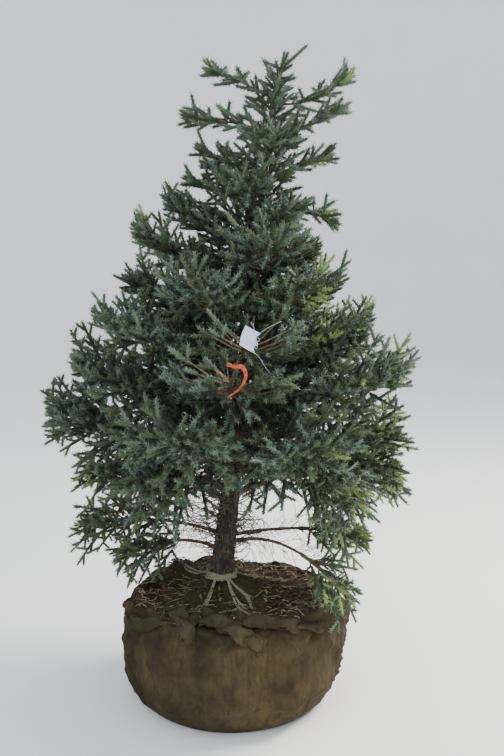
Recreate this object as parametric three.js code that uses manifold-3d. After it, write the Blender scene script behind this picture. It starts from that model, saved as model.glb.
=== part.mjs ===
// A young spruce dug for sale: a leaning trunk, drooping skirt boughs and a dense crown that thins to an
// open top, standing on a squat root ball wrapped in burlap and laced to the trunk with twine.
// Millimetres, +Z up. The origin is the centre of the ball's flat underside, +X is the right of the main view
// and +Y points away from the viewer.
import * as THREE from "three";
import { mergeVertices } from "three/addons/utils/BufferGeometryUtils.js";
import Module from "manifold-3d";

const wasm = await Module();
wasm.setup();

const degree = Math.PI / 180;
const up = new THREE.Vector3(0, 0, 1);
const gap = 0.3; // running gap between neighbouring solids

// Driving dimensions
const rootBall = {
  footRadius: 335,
  girthRadius: 432,
  girthZ: 225,
  rimZ: 398,
  troughZ: 390,
  padRadius: 66, // burlap gathered under the trunk
  height: 460,
  foldDepth: 26, // how far the cloth's folds stand out at the rim
  segments: 34,
};
const trunk = {
  footX: -45,
  footZ: rootBall.height + gap,
  tipZ: 2366,
  lean: 0.1086, // sideways travel for each mm of height, towards +X
  kickZ: 2177, // the leader turns further over above this height
  kick: 22,
  sway: 6, // slow bend towards and away from the viewer
  footRadius: 43,
  tipRadius: 3,
  flare: 10,
  flareFall: 45,
  flareLobes: 5,
  sides: 9,
  steps: 16,
};
const twine = { low: 468, high: 492, thickness: 6, strand: 3.6, reach: 260 };
const tag = { width: 64, height: 70, thickness: 1.6, curl: 9, turn: -25, tieRadius: 1.3 };
const ribbon = { width: 24, thickness: 1.4, loop: 30, tail: 100, knot: 11 };
const spray = { dense: 150, open: 122, top: 104, plump: 0.17 }; // length, and radius as a share of it
// The close-set shoots round a dense limb: rings of teeth along it, set further apart on a wider mass by its
// spread. Inner is the radius between the teeth and flat the thickness, as shares of the mass's half width.
// Sweep is how far a tooth leans forwards for its length, and clear how far it stays inside its own space.
const brush = { closest: 16, spread: 0.13, inner: 0.34, flat: 0.6, sweep: 0.7, clear: 6 };

const stalkRadius = 4;
// A spray's barbs from its root: share of its radius, share of its length. They point forwards.
const sprayBarbs = [
  [1, 0.5],
  [0.42, 0.43],
  [0.8, 0.85],
];
const shortBarbs = [
  [1, 0.62],
  [0.46, 0.54],
];

// Limbs that show one by one in the view: azimuth 0 points to +X and 90 to +Y.
// reach is level distance from the trunk, lift the rise of the tip above the root, bow the arch between them,
// width the half width of the foliage, and bare the share of the limb that carries none.
const skirtLimbs = [
  { name: "skirt_front", z: 590, azimuth: -29, reach: 545, lift: -150, bow: 108, width: 120, bare: 0.6 },
  { name: "skirt_right", z: 622, azimuth: 2, reach: 565, lift: -10, bow: 34, width: 130, bare: 0.5 },
  { name: "skirt_left_front", z: 567, azimuth: 199, reach: 430, lift: -2, bow: 62, width: 140, bare: 0.34 },
  { name: "skirt_left", z: 630, azimuth: 177, reach: 585, lift: 22, bow: 44, width: 180, bare: 0.3 },
];
const lowLimbs = [
  { name: "low_right", z: 775, azimuth: 5, reach: 680, lift: 80, bow: 66, width: 210, bare: 0 },
  { name: "low_right_front", z: 850, azimuth: -36, reach: 575, lift: -40, bow: 105, width: 200, bare: 0.3 },
  { name: "low_left_front", z: 800, azimuth: 222, reach: 470, lift: 72, bow: 60, width: 200, bare: 0 },
  { name: "low_left_back", z: 760, azimuth: 157, reach: 640, lift: 62, bow: 50, width: 220, bare: 0 },
  { name: "low_back", z: 780, azimuth: 85, reach: 560, lift: 60, bow: 60, width: 220, bare: 0 },
];
// Whorls of the dense crown. tilt lifts the right side's tips and lowers the left's.
const whorls = [
  { name: "lower", z: 925, count: 6, turn: 6, lift: 175, tilt: -58, width: 230 },
  { name: "middle", z: 1085, count: 5, turn: -22, lift: 222, tilt: 10, width: 240 },
  { name: "upper", z: 1245, count: 5, turn: -12, lift: 225, tilt: 14, width: 215 },
  { name: "shoulder", z: 1405, count: 5, turn: 24, lift: 220, tilt: -10, width: 185 },
];
// The level reach of each whorl's limbs: its own value to the left, to the right and in depth.
const whorlReaches = {
  lower: { left: 722, right: 660, depth: 560 },
  middle: { left: 640, right: 660, depth: 540 },
  upper: { left: 560, right: 490, depth: 480 },
  shoulder: { left: 470, right: 340, depth: 400 },
};
const neckLimbs = [
  { name: "neck_left", z: 1560, azimuth: 192, reach: 440, lift: 240, bow: -18, width: 170 },
  { name: "neck_front", z: 1575, azimuth: 284, reach: 330, lift: 200, bow: -10, width: 160 },
  { name: "neck_right", z: 1590, azimuth: 8, reach: 250, lift: 130, bow: 0, width: 140 },
  { name: "neck_back", z: 1600, azimuth: 100, reach: 330, lift: 200, bow: -10, width: 160 },
  { name: "throat_left", z: 1715, azimuth: 183, reach: 350, lift: 190, bow: -12, width: 140 },
  { name: "throat_front", z: 1735, azimuth: 304, reach: 225, lift: 140, bow: -6, width: 120 },
  { name: "throat_back", z: 1745, azimuth: 62, reach: 235, lift: 140, bow: -6, width: 120 },
];
// The column round the leader: short dense masses before and behind it, and open arms of separate shoots.
const columnLimbs = [
  { name: "column_front_1", z: 1830, azimuth: 250, reach: 215, lift: 130, bow: -6, width: 125 },
  { name: "column_back_1", z: 1850, azimuth: 110, reach: 215, lift: 130, bow: -6, width: 125 },
  { name: "column_front_2", z: 2010, azimuth: 285, reach: 170, lift: 130, bow: -6, width: 110 },
  { name: "column_back_2", z: 2035, azimuth: 78, reach: 170, lift: 130, bow: -6, width: 110 },
];
const topLimbs = [
  { name: "top_right_1", z: 1850, azimuth: -6, reach: 292, lift: -52, bow: 30, width: 84 },
  { name: "top_left_1", z: 1880, azimuth: 181, reach: 290, lift: 88, bow: -8, width: 110 },
  { name: "top_right_2", z: 1960, azimuth: 8, reach: 262, lift: 96, bow: 4, width: 90 },
  { name: "top_left_2", z: 1990, azimuth: 172, reach: 262, lift: 88, bow: -6, width: 96 },
  { name: "top_right_3", z: 2120, azimuth: -18, reach: 300, lift: 100, bow: -16, width: 84 },
  { name: "top_left_3", z: 2130, azimuth: 168, reach: 328, lift: 58, bow: 14, width: 84 },
  { name: "top_right_4", z: 2232, azimuth: 14, reach: 310, lift: 132, bow: -42, width: 76 },
  { name: "top_left_4", z: 2246, azimuth: 196, reach: 258, lift: 96, bow: 10, width: 76 },
];

// The same seeded draw, 0 to 1, for a pair of whole numbers.
function draw(a, b = 0) {
  const wave = Math.sin(a * 12.9898 + b * 78.233) * 43758.5453;
  return wave - Math.floor(wave);
}

function mix(a, b, share) {
  return a + (b - a) * share;
}

function trunkCentre(z) {
  const rise = z - rootBall.height;
  const over = Math.max(0, (z - trunk.kickZ) / (trunk.tipZ - trunk.kickZ));
  const x = trunk.footX + trunk.lean * rise + trunk.kick * over * over;
  return new THREE.Vector3(x, trunk.sway * Math.sin(rise / 260), z);
}

function trunkRadius(z) {
  const share = (z - rootBall.height) / (trunk.tipZ - rootBall.height);
  const flare = trunk.flare * Math.exp((rootBall.height - z) / trunk.flareFall);
  return mix(trunk.footRadius, trunk.tipRadius, share) + flare;
}

// Level reach of a whorl's limb at an azimuth.
function whorlReach(whorl, azimuth) {
  const reach = whorlReaches[whorl.name];
  const across = Math.cos(azimuth * degree);
  return mix(reach.depth, across > 0 ? reach.right : reach.left, across * across);
}

function whorlLimbs(whorl, order) {
  return Array.from({ length: whorl.count }, (_, i) => {
    const azimuth = whorl.turn + (360 * i) / whorl.count + 8 * (draw(order, i) - 0.5);
    return {
      name: `${whorl.name}_${i + 1}`,
      z: whorl.z + 44 * (draw(order, i + 20) - 0.5),
      azimuth,
      reach: whorlReach(whorl, azimuth) * (1 + 0.06 * (draw(order, i + 40) - 0.5)),
      lift: whorl.lift + whorl.tilt * Math.cos(azimuth * degree),
      bow: -6,
      width: whorl.width,
    };
  });
}

function limbPoint(limb, t) {
  const root = trunkCentre(limb.z);
  const along = limb.reach * t;
  return new THREE.Vector3(
    root.x + along * Math.cos(limb.azimuth * degree),
    root.y + along * Math.sin(limb.azimuth * degree),
    limb.z + limb.lift * t + 4 * limb.bow * t * (1 - t),
  );
}

function limbTangent(limb, t) {
  return limbPoint(limb, t + 0.01).sub(limbPoint(limb, t - 0.01)).normalize();
}

function limbSide(limb) {
  return new THREE.Vector3(-Math.sin(limb.azimuth * degree), Math.cos(limb.azimuth * degree), 0);
}

function limbRadius(limb, t) {
  return mix(limb.rootRadius, 2.6, Math.pow(t, 0.8));
}

// A closed manifold solid from a three.js geometry.
function solid(geometry) {
  geometry.deleteAttribute("normal");
  geometry.deleteAttribute("uv");
  const merged = mergeVertices(geometry, 1e-3);
  const corners = merged.index.array;
  const kept = [];
  for (let i = 0; i < corners.length; i += 3) {
    const [a, b, c] = corners.slice(i, i + 3);
    if (a !== b && b !== c && a !== c) {
      kept.push(a, b, c);
    }
  }
  const made = new wasm.Manifold(
    new wasm.Mesh({
      numProp: 3,
      vertProperties: merged.attributes.position.array,
      triVerts: new Uint32Array(kept),
    }),
  );
  if (made.volume() <= 0) {
    throw new Error("a piece is inside out");
  }
  return made;
}

// Moves each vertex of a geometry by a function of its own place.
function reshape(geometry, place) {
  const position = geometry.attributes.position;
  for (let i = 0; i < position.count; i++) {
    const to = place(new THREE.Vector3().fromBufferAttribute(position, i));
    position.setXYZ(i, to.x, to.y, to.z);
  }
  return geometry;
}

// A cylinder bent along a path and tapered: x and z of the cylinder lie across the path, y along it.
function bentTube({ pointAt, tangentAt, side, radiusAt, sides, steps }) {
  const tube = new THREE.CylinderGeometry(1, 1, 1, sides, steps);
  return solid(
    reshape(tube, (v) => {
      const share = v.y + 0.5;
      const tangent = tangentAt(share);
      const rise = new THREE.Vector3().crossVectors(tangent, side).normalize();
      const across = new THREE.Vector3().crossVectors(rise, tangent);
      const radius = radiusAt(share, Math.atan2(v.z, v.x));
      return pointAt(share).addScaledVector(rise, v.x * radius).addScaledVector(across, v.z * radius);
    }),
  );
}

function straightBasis(from, to, roll = 0) {
  const along = to.clone().sub(from).normalize();
  const guide = Math.abs(along.z) > 0.9 ? new THREE.Vector3(1, 0, 0) : up;
  const side = new THREE.Vector3().crossVectors(guide, along).normalize().applyAxisAngle(along, roll);
  const rise = new THREE.Vector3().crossVectors(along, side);
  return new THREE.Matrix4().makeBasis(rise, along, side).setPosition(from);
}

function twigSolid(from, to, rootRadius, tipRadius) {
  const length = from.distanceTo(to);
  const rod = new THREE.CylinderGeometry(tipRadius, rootRadius, length, 3, 1).translate(0, length / 2, 0);
  return solid(rod.applyMatrix4(straightBasis(from, to)));
}

// A spray of needles: a slim three-sided core with barbs. Its root starts on the limb's axis.
function spraySolid(from, to, radius, stalk, roll, barbs = sprayBarbs) {
  const length = from.distanceTo(to);
  const outline = [new THREE.Vector2(0, 0)];
  if (stalk > 0) {
    outline.push(new THREE.Vector2(stalkRadius, stalk * length));
  }
  for (const [out, along] of barbs) {
    outline.push(new THREE.Vector2(out * radius, mix(stalk, 1, along) * length));
  }
  outline.push(new THREE.Vector2(0, length));
  return solid(new THREE.LatheGeometry(outline, 3).applyMatrix4(straightBasis(from, to, roll)));
}

function segmentDistance(p, a, b) {
  const ab = b.clone().sub(a);
  const share = THREE.MathUtils.clamp(p.clone().sub(a).dot(ab) / ab.lengthSq(), 0, 1);
  return p.distanceTo(ab.multiplyScalar(share).add(a));
}

function pathDistance(p, path) {
  let least = Infinity;
  for (let i = 1; i < path.length; i++) {
    least = Math.min(least, segmentDistance(p, path[i - 1], path[i]));
  }
  return least;
}

// The ball's outline from the middle of its underside up and over the rim to the pad under the trunk.
const ballOutline = [
  [0, 0],
  [rootBall.footRadius, 0],
  [390, 52],
  [424, 140],
  [rootBall.girthRadius, rootBall.girthZ],
  [424, 306],
  [403, 362],
  [376, rootBall.rimZ],
  [338, rootBall.rimZ + 2],
  [300, rootBall.troughZ],
  [200, rootBall.troughZ + 14],
  [110, 436],
  [rootBall.padRadius, rootBall.height],
  [0, rootBall.height],
];
// Bunches of loose cloth on the rim, each a flattened mound: length lies along the rim before it is turned.
const clothBunches = [
  { azimuth: 246, radius: 322, z: 388, length: 66, width: 46, height: 50, turn: 58 },
  { azimuth: 274, radius: 300, z: 380, length: 150, width: 44, height: 40, turn: 5 },
  { azimuth: 322, radius: 342, z: 384, length: 120, width: 44, height: 38, turn: -8 },
  { azimuth: 132, radius: 318, z: 386, length: 112, width: 60, height: 60, turn: 14 },
];

// Broad, middling and narrow folds round the ball.
function foldWave(angle) {
  const broad = 0.4 * Math.sin(3 * angle + 0.4);
  const middling = 0.32 * Math.sin(7 * angle + 1.9);
  return broad + middling + 0.28 * Math.sin(11 * angle + 0.6);
}

// The cloth's folds pushed out of the plain outline, fading towards the foot and the pad.
function foldedCloth(radius, z, angle) {
  const nearRim = Math.exp(-Math.pow((radius - 390) / 80, 2)) * Math.min(1, z / 240);
  const shift = trunk.footX * Math.max(0, 1 - radius / 300) * Math.min(1, z / rootBall.troughZ);
  const cloth = radius + rootBall.foldDepth * nearRim * foldWave(angle);
  const height = z + (z > 1 ? 0.9 * rootBall.foldDepth * nearRim * foldWave(angle + 0.8) : 0);
  return new THREE.Vector3(cloth * Math.cos(angle) + shift, cloth * Math.sin(angle), height);
}

function ballTop(radius) {
  for (let i = ballOutline.length - 1; i > 4; i--) {
    const [inner, innerZ] = ballOutline[i];
    const [outer, outerZ] = ballOutline[i - 1];
    if (radius <= outer) {
      return mix(innerZ, outerZ, (radius - inner) / Math.max(1, outer - inner));
    }
  }
  return 0;
}

function makeRootBall() {
  const profile = ballOutline.map(([radius, z]) => new THREE.Vector2(radius, z));
  const cloth = new THREE.LatheGeometry(profile, rootBall.segments);
  const folded = (v) => foldedCloth(Math.hypot(v.x, v.z), v.y, Math.atan2(-v.z, v.x));
  const ball = solid(reshape(cloth, folded));
  return clothBunches.reduce((whole, fold) => {
    const mound = new THREE.SphereGeometry(1, 8, 5).rotateX(90 * degree);
    mound.scale(fold.width, fold.length, fold.height);
    mound.rotateZ((fold.azimuth + fold.turn) * degree);
    const middle = new THREE.Vector3(fold.radius, 0, fold.z).applyAxisAngle(up, fold.azimuth * degree);
    return whole.add(solid(mound.translate(middle.x, middle.y, middle.z)));
  }, ball);
}

// The trunk, or the same tube grown by an extra radius. Its rings stand closer together near the flare.
function trunkTube(extra) {
  const levelAt = (share) => mix(trunk.footZ, trunk.tipZ, Math.pow(share, 1.4));
  return bentTube({
    pointAt: (share) => trunkCentre(levelAt(share)),
    tangentAt: () => up.clone(),
    side: new THREE.Vector3(0, 1, 0),
    radiusAt: (share, angle) => {
      const z = levelAt(share);
      const lobe = 0.12 * Math.cos(trunk.flareLobes * angle) * Math.exp((trunk.footZ - z) / trunk.flareFall);
      return trunkRadius(z) * (1 + lobe) + extra;
    },
    sides: trunk.sides,
    steps: trunk.steps,
  });
}

const trunkSolid = trunkTube(0);
const ballSolid = makeRootBall();
const aroundTrunk = trunkTube(1.4 * gap);

function finishLimb(limb, kind, rootRadius) {
  return { bare: 0, bow: 0, ...limb, kind, rootRadius };
}

const crownLimbs = whorls.flatMap((whorl, order) => whorlLimbs(whorl, order + 1));
const limbs = [
  ...skirtLimbs.map((limb) => finishLimb(limb, "open", 8.5)),
  ...lowLimbs.map((limb) => finishLimb(limb, "dense", 12)),
  ...crownLimbs.map((limb) => finishLimb(limb, "dense", 9)),
  ...neckLimbs.map((limb) => finishLimb(limb, "dense", 7)),
  ...columnLimbs.map((limb) => finishLimb(limb, "dense", 5)),
  ...topLimbs.map((limb) => finishLimb(limb, "top", 4.5)),
];
for (const limb of limbs) {
  limb.path = Array.from({ length: 13 }, (_, i) => limbPoint(limb, i / 12));
}
// How each kind of mass branches: its sprays' length, the side pairs from first to the tip, those above and
// below, and where the close-set shoots end and how many places stand round each ring, three to a tooth.
const kinds = {
  open: { sprayLength: spray.open, first: 0.16, pairs: 4, upright: 2, hanging: 1 },
  dense: { sprayLength: spray.dense, first: 0.7, pairs: 1, upright: 0, hanging: 0 },
  top: { sprayLength: spray.top, first: 0.5, pairs: 2, upright: 0, hanging: 0 },
};
const brushes = {
  dense: { end: 0.88, sides: 9 },
  top: { end: 0.62, sides: 6 },
};

function stemEndOf(limb) {
  return 1 - (0.8 * kinds[limb.kind].sprayLength) / limb.reach;
}

// How far a point stands inside its own limb's space, which ends half way to every other limb and short of
// the trunk, the ball and what hangs on the spurs.
function roomAt(limb, p) {
  const own = pathDistance(p, limb.path);
  let room = Infinity;
  for (const other of limbs.filter((candidate) => candidate !== limb)) {
    const away = pathDistance(p, other.path);
    room = Math.min(room, (away - own) / 2, away - 1.6 * other.rootRadius);
  }
  if (p.z < trunk.tipZ) {
    const level = trunkCentre(p.z);
    room = Math.min(room, Math.hypot(p.x - level.x, p.y - level.y) - trunkRadius(p.z));
  }
  const fromAxis = Math.hypot(p.x, p.y);
  if (fromAxis < rootBall.girthRadius + 30) {
    room = Math.min(room, p.z - ballTop(Math.min(fromAxis, rootBall.girthRadius)) - 2 * rootBall.foldDepth);
  }
  for (const kept of reserved) {
    room = Math.min(room, segmentDistance(p, kept.from, kept.to) - kept.radius);
  }
  return room;
}

function fits(limb, from, to, radius, stalk) {
  return [0.25, 0.5, 0.7, 0.85, 1].every((share) => {
    const thick = share === 1 ? 2 : radius * Math.min(1, 2 * share);
    return roomAt(limb, from.clone().lerp(to, mix(stalk, 1, share))) > thick + 1.5;
  });
}

// Two front limbs end in a bare spur in place of their last spray. The tag and the ribbon hang there, in a
// space that no foliage enters.
const tagLimb = limbs.find((limb) => limb.name === "upper_5");
const ribbonLimb = limbs.find((limb) => limb.name === "middle_5");
function spurRadius(share) {
  return mix(5, 3.2, share);
}

function spurOf(limb, lean, out, rise) {
  const from = limbPoint(limb, stemEndOf(limb) - 0.04);
  return { limb, from, to: from.clone().add(new THREE.Vector3(lean, -out, rise)) };
}
const tagSpur = spurOf(tagLimb, 30, 122, 118);
const ribbonSpur = spurOf(ribbonLimb, 30, 104, 104);
const spurOn = (limb) => [tagSpur, ribbonSpur].find((spur) => spur.limb === limb);
const reserved = [
  { from: tagSpur.to, to: tagSpur.to.clone().add(new THREE.Vector3(0, 0, -110)), radius: 60 },
  { from: ribbonSpur.to, to: ribbonSpur.to.clone().add(new THREE.Vector3(0, 20, -140)), radius: 52 },
];

// Half width of the foliage along its limb, as a share of its widest.
function plateShare(t) {
  return Math.pow(Math.sin(Math.PI * mix(0.2, 0.93, t)), 0.8);
}

// The close-set shoots of a mass: a toothed body round the stem, each tooth drawn back into its own space.
function makeBrush(limb, start, order) {
  const from = Math.max(start + 0.05, 0.1);
  const { end, sides } = brushes[limb.kind];
  const to = spurOn(limb) ? stemEndOf(limb) - 0.04 : end;
  const rings = Math.round((limb.reach * (to - from)) / (brush.closest + brush.spread * limb.width));
  const outline = [new THREE.Vector2(0, 0)];
  for (let ring = 1; ring < rings; ring++) {
    outline.push(new THREE.Vector2(1, ring));
  }
  outline.push(new THREE.Vector2(0, rings));
  return solid(
    reshape(new THREE.LatheGeometry(outline, sides), (v) => {
      const t = mix(from, to, v.y / rings);
      const axis = limbPoint(limb, t);
      if (Math.hypot(v.x, v.z) < 0.5) {
        return axis;
      }
      const angle = Math.atan2(v.x, v.z);
      const place = Math.round((angle / (2 * Math.PI)) * sides) + sides;
      const tooth = (place + 2 * Math.round(v.y)) % 3 === 0;
      const seed = order * 50 + Math.round(v.y);
      const share = tooth ? mix(0.85, 1.25, draw(seed, place % sides)) : brush.inner;
      const out = limb.width * plateShare(t) * share;
      const tangent = limbTangent(limb, t);
      const rise = new THREE.Vector3().crossVectors(tangent, limbSide(limb));
      const offset = limbSide(limb).multiplyScalar(out * Math.cos(angle));
      offset.addScaledVector(rise, out * brush.flat * Math.sin(angle));
      if (tooth) {
        offset.addScaledVector(tangent, brush.sweep * offset.length());
      }
      let kept = 1;
      while (kept > 0.15 && roomAt(limb, axis.clone().addScaledVector(offset, kept)) < brush.clear) {
        kept -= 0.05;
      }
      return axis.addScaledVector(offset, kept);
    }),
  );
}

// One mass of foliage: a stem with side twigs to both hands and a few above and below, each a spray of
// needles, and the close-set shoots of a dense one.
function growFoliage(limb, order) {
  const kind = kinds[limb.kind];
  const start = limb.bare ? limb.bare + gap / limb.reach : 0;
  const stemEnd = stemEndOf(limb);
  const side = limbSide(limb);
  const pieces = [
    bentTube({
      pointAt: (share) => limbPoint(limb, mix(start, stemEnd, share)),
      tangentAt: (share) => limbTangent(limb, mix(start, stemEnd, share)),
      side,
      radiusAt: (share) => limbRadius(limb, mix(start, stemEnd, share)),
      sides: limb.bare ? 4 : 3,
      steps: 3,
    }),
  ];
  const addTwig = (t, direction, length, roll, barbs = shortBarbs) => {
    const root = limbPoint(limb, t);
    for (const share of [1, 0.86, 0.72, 0.6]) {
      const reach = length * share;
      const end = root.clone().addScaledVector(direction, reach);
      const stalk = reach > 1.3 * kind.sprayLength ? 1 - kind.sprayLength / reach : 0;
      const radius = Math.min(kind.sprayLength, reach) * spray.plump;
      if (fits(limb, root, end, radius, stalk)) {
        pieces.push(spraySolid(root, end, radius, stalk, roll, barbs));
        return;
      }
    }
  };
  const spur = spurOn(limb);
  if (spur) {
    pieces.push(twigSolid(spur.from, spur.to, spurRadius(0), spurRadius(1)));
  } else {
    const last = limbPoint(limb, 1).sub(limbPoint(limb, stemEnd - 0.04));
    addTwig(stemEnd - 0.04, last.clone().normalize(), last.length(), order, sprayBarbs);
  }
  if (brushes[limb.kind]) {
    pieces.push(makeBrush(limb, start, order));
  }
  const first = mix(start, 1, kind.first);
  for (let pair = 0; pair < kind.pairs; pair++) {
    for (const hand of [-1, 1]) {
      const seed = order * 100 + pair * 2 + (hand > 0 ? 1 : 0);
      const t = mix(first, 0.86, (pair + 0.35 * draw(seed, 1)) / (kind.pairs - 0.6));
      const angle = mix(58, 44, draw(seed, 2)) * degree;
      const direction = limbTangent(limb, t)
        .multiplyScalar(Math.cos(angle))
        .addScaledVector(side, hand * Math.sin(angle))
        .addScaledVector(up, 0.3 * (draw(seed, 3) - 0.4))
        .normalize();
      addTwig(t, direction, limb.width * plateShare(t) * mix(1, 1.25, draw(seed, 4)), seed);
    }
  }
  const extras = kind.upright + kind.hanging;
  for (let i = 0; i < extras; i++) {
    const seed = order * 100 + 50 + i;
    const t = mix(first, 0.8, (i + draw(seed, 1)) / extras);
    const raised = i < kind.upright ? 0.95 : -0.9;
    const direction = limbTangent(limb, t)
      .multiplyScalar(0.8)
      .addScaledVector(up, raised)
      .addScaledVector(side, 0.9 * (draw(seed, 2) - 0.5))
      .normalize();
    addTwig(t, direction, Math.max(limb.width * 0.62, kind.sprayLength * 0.72), seed);
  }
  const fused = pieces.reduce((whole, piece) => whole.add(piece));
  const freed = limb.bare ? fused : fused.subtract(aroundTrunk);
  return largestPiece(freed);
}

// Fills sealed hollows and drops loose scraps.
function largestPiece(fused) {
  return fused.decompose().reduce((best, part) => (part.volume() > best.volume() ? part : best));
}

function makeBough(limb) {
  const bough = bentTube({
    pointAt: (share) => limbPoint(limb, limb.bare * share),
    tangentAt: (share) => limbTangent(limb, limb.bare * share),
    side: limbSide(limb),
    radiusAt: (share) => limbRadius(limb, limb.bare * share),
    sides: 6,
    steps: 6,
  });
  return largestPiece(bough.subtract(aroundTrunk));
}

// The leader's closing cluster of shoots, just above the trunk's tip.
function makeLeader() {
  const foot = trunkCentre(trunk.tipZ).add(new THREE.Vector3(0, 0, gap));
  const heel = foot.clone().addScaledVector(up, 26);
  const shoots = [
    { lean: 14, away: 0, rise: 46 },
    { lean: 92, away: -8, rise: 66 },
    { lean: -70, away: 26, rise: 22 },
    { lean: 30, away: 74, rise: 30 },
    { lean: 22, away: -76, rise: 28 },
  ];
  const stub = twigSolid(foot, heel, 3.4, 3);
  return shoots.reduce((whole, shoot, i) => {
    const root = heel.clone().addScaledVector(up, -8 - 2 * i);
    const tip = foot.clone().add(new THREE.Vector3(shoot.lean, shoot.away, shoot.rise));
    return whole.add(spraySolid(root, tip, 11, 0, i));
  }, stub);
}

// Twine wound round the trunk's foot, with four strands drawn down to the rim.
function makeTwine() {
  const middle = trunkCentre((twine.low + twine.high) / 2);
  const outer = trunkRadius(twine.low) + twine.thickness;
  const band = new THREE.LatheGeometry(
    [
      new THREE.Vector2(trunkRadius(twine.high) - 8, twine.low),
      new THREE.Vector2(outer, twine.low),
      new THREE.Vector2(outer + 2, mix(twine.low, twine.high, 0.5)),
      new THREE.Vector2(outer - 2, twine.high),
      new THREE.Vector2(trunkRadius(twine.high) - 8, twine.high),
      new THREE.Vector2(trunkRadius(twine.high) - 8, twine.low),
    ],
    16,
  );
  band.rotateX(90 * degree).translate(middle.x, middle.y, 0);
  let wound = solid(band);
  for (const azimuth of [-66, 32, 128, 247]) {
    const outward = new THREE.Vector3(Math.cos(azimuth * degree), Math.sin(azimuth * degree), 0);
    const from = middle.clone().addScaledVector(outward, outer - 4).setZ(twine.low + 9);
    const to = middle.clone().addScaledVector(outward, twine.reach);
    to.z = ballTop(Math.hypot(to.x, to.y)) + 18;
    wound = wound.add(twigSolid(from, to, twine.strand, twine.strand));
  }
  return largestPiece(wound.subtract(aroundTrunk).subtract(ballSolid.translate(0, 0, gap)));
}

// A blank label, curled across its width, on a stiff tie whose eye goes round the bare spur.
function makeTag() {
  const hang = tagSpur.from.clone().lerp(tagSpur.to, 0.8);
  const eyeRadius = spurRadius(0.8) + tag.tieRadius + 1.4 * gap;
  const eye = new THREE.TorusGeometry(eyeRadius, tag.tieRadius, 4, 9);
  eye.rotateX(90 * degree).applyMatrix4(straightBasis(hang, tagSpur.to, 0));
  const plateTop = hang.clone().add(new THREE.Vector3(-6, -12, -18));
  const plate = new THREE.BoxGeometry(tag.width, tag.thickness, tag.height, 5, 1, 1);
  reshape(plate, (v) => v.setY(v.y + tag.curl * Math.pow((2 * v.x) / tag.width, 2)));
  plate.rotateY(-tag.turn * degree).translate(plateTop.x, plateTop.y, plateTop.z - tag.height * 0.5);
  const level = up.clone().projectOnPlane(tagSpur.to.clone().sub(tagSpur.from).normalize());
  const hung = hang.clone().addScaledVector(level.normalize(), -eyeRadius);
  const end = plateTop.clone().add(new THREE.Vector3(4, 0, -12));
  const tie = twigSolid(hung, end, tag.tieRadius, tag.tieRadius);
  return solid(eye).add(tie).add(solid(plate));
}

// Flagging ribbon knotted round its bare spur: a band, a loop that stands out and a tail that curls under.
function makeRibbon() {
  const knot = ribbonSpur.from.clone().lerp(ribbonSpur.to, 0.72);
  const bore = spurRadius(0.72) + 1.5 * gap;
  const band = new THREE.LatheGeometry(
    [
      new THREE.Vector2(bore, -9),
      new THREE.Vector2(ribbon.knot, -9),
      new THREE.Vector2(ribbon.knot, 9),
      new THREE.Vector2(bore, 9),
      new THREE.Vector2(bore, -9),
    ],
    12,
  );
  band.applyMatrix4(straightBasis(knot, ribbonSpur.to, 0));
  const fall = new THREE.CatmullRomCurve3([
    knot.clone().add(new THREE.Vector3(ribbon.knot - 1.5, -3, 0)),
    knot.clone().add(new THREE.Vector3(0.8 * ribbon.loop, -10, -4)),
    knot.clone().add(new THREE.Vector3(ribbon.loop, -13, -0.36 * ribbon.tail)),
    knot.clone().add(new THREE.Vector3(0.2 * ribbon.loop, -12, -0.74 * ribbon.tail)),
    knot.clone().add(new THREE.Vector3(-1.2 * ribbon.loop, -8, -ribbon.tail)),
  ]);
  const section = new THREE.Shape(
    [
      [-ribbon.thickness / 2, -ribbon.width / 2],
      [ribbon.thickness / 2, -ribbon.width / 2],
      [ribbon.thickness / 2, ribbon.width / 2],
      [-ribbon.thickness / 2, ribbon.width / 2],
    ].map(([x, y]) => new THREE.Vector2(x, y)),
  );
  const strip = new THREE.ExtrudeGeometry(section, { steps: 14, extrudePath: fall });
  return largestPiece(solid(band).add(solid(strip)));
}

function material(color, roughness) {
  return new THREE.MeshStandardMaterial({ color, roughness, metalness: 0 });
}

const bark = material("#5b4636", 0.95);
const needles = {
  open: material("#4d6b4c", 0.8),
  dense: material("#3f5f50", 0.8),
  top: material("#48685a", 0.8),
};
const burlap = material("#8a6f46", 0.95);
const twineFibre = material("#a3937a", 0.9);
const paper = material("#d9dde4", 0.6);
const flagging = material("#e5531f", 0.5);

function meshOf(made, name, finish) {
  const from = made.getMesh();
  const geometry = new THREE.BufferGeometry();
  geometry.setAttribute("position", new THREE.BufferAttribute(new Float32Array(from.vertProperties), 3));
  geometry.setIndex(new THREE.BufferAttribute(new Uint32Array(from.triVerts), 1));
  geometry.computeVertexNormals();
  const mesh = new THREE.Mesh(geometry, finish);
  mesh.name = name;
  return mesh;
}

const tree = new THREE.Group();
tree.add(meshOf(ballSolid, "root_ball", burlap));
tree.add(meshOf(trunkSolid, "trunk", bark));
tree.add(meshOf(makeTwine(), "trunk_twine", twineFibre));
tree.add(meshOf(makeTag(), "blank_tag", paper));
tree.add(meshOf(makeRibbon(), "marker_ribbon", flagging));
limbs.forEach((limb, order) => {
  if (limb.bare) {
    tree.add(meshOf(makeBough(limb), `bough_${limb.name}`, bark));
  }
  tree.add(meshOf(growFoliage(limb, order), `foliage_${limb.name}`, needles[limb.kind]));
});
tree.add(meshOf(makeLeader(), "foliage_leader", needles.top));

export default tree;
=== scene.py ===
import math

import bpy
import numpy as np
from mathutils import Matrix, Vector, noise
from mathutils.bvhtree import BVHTree


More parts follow.
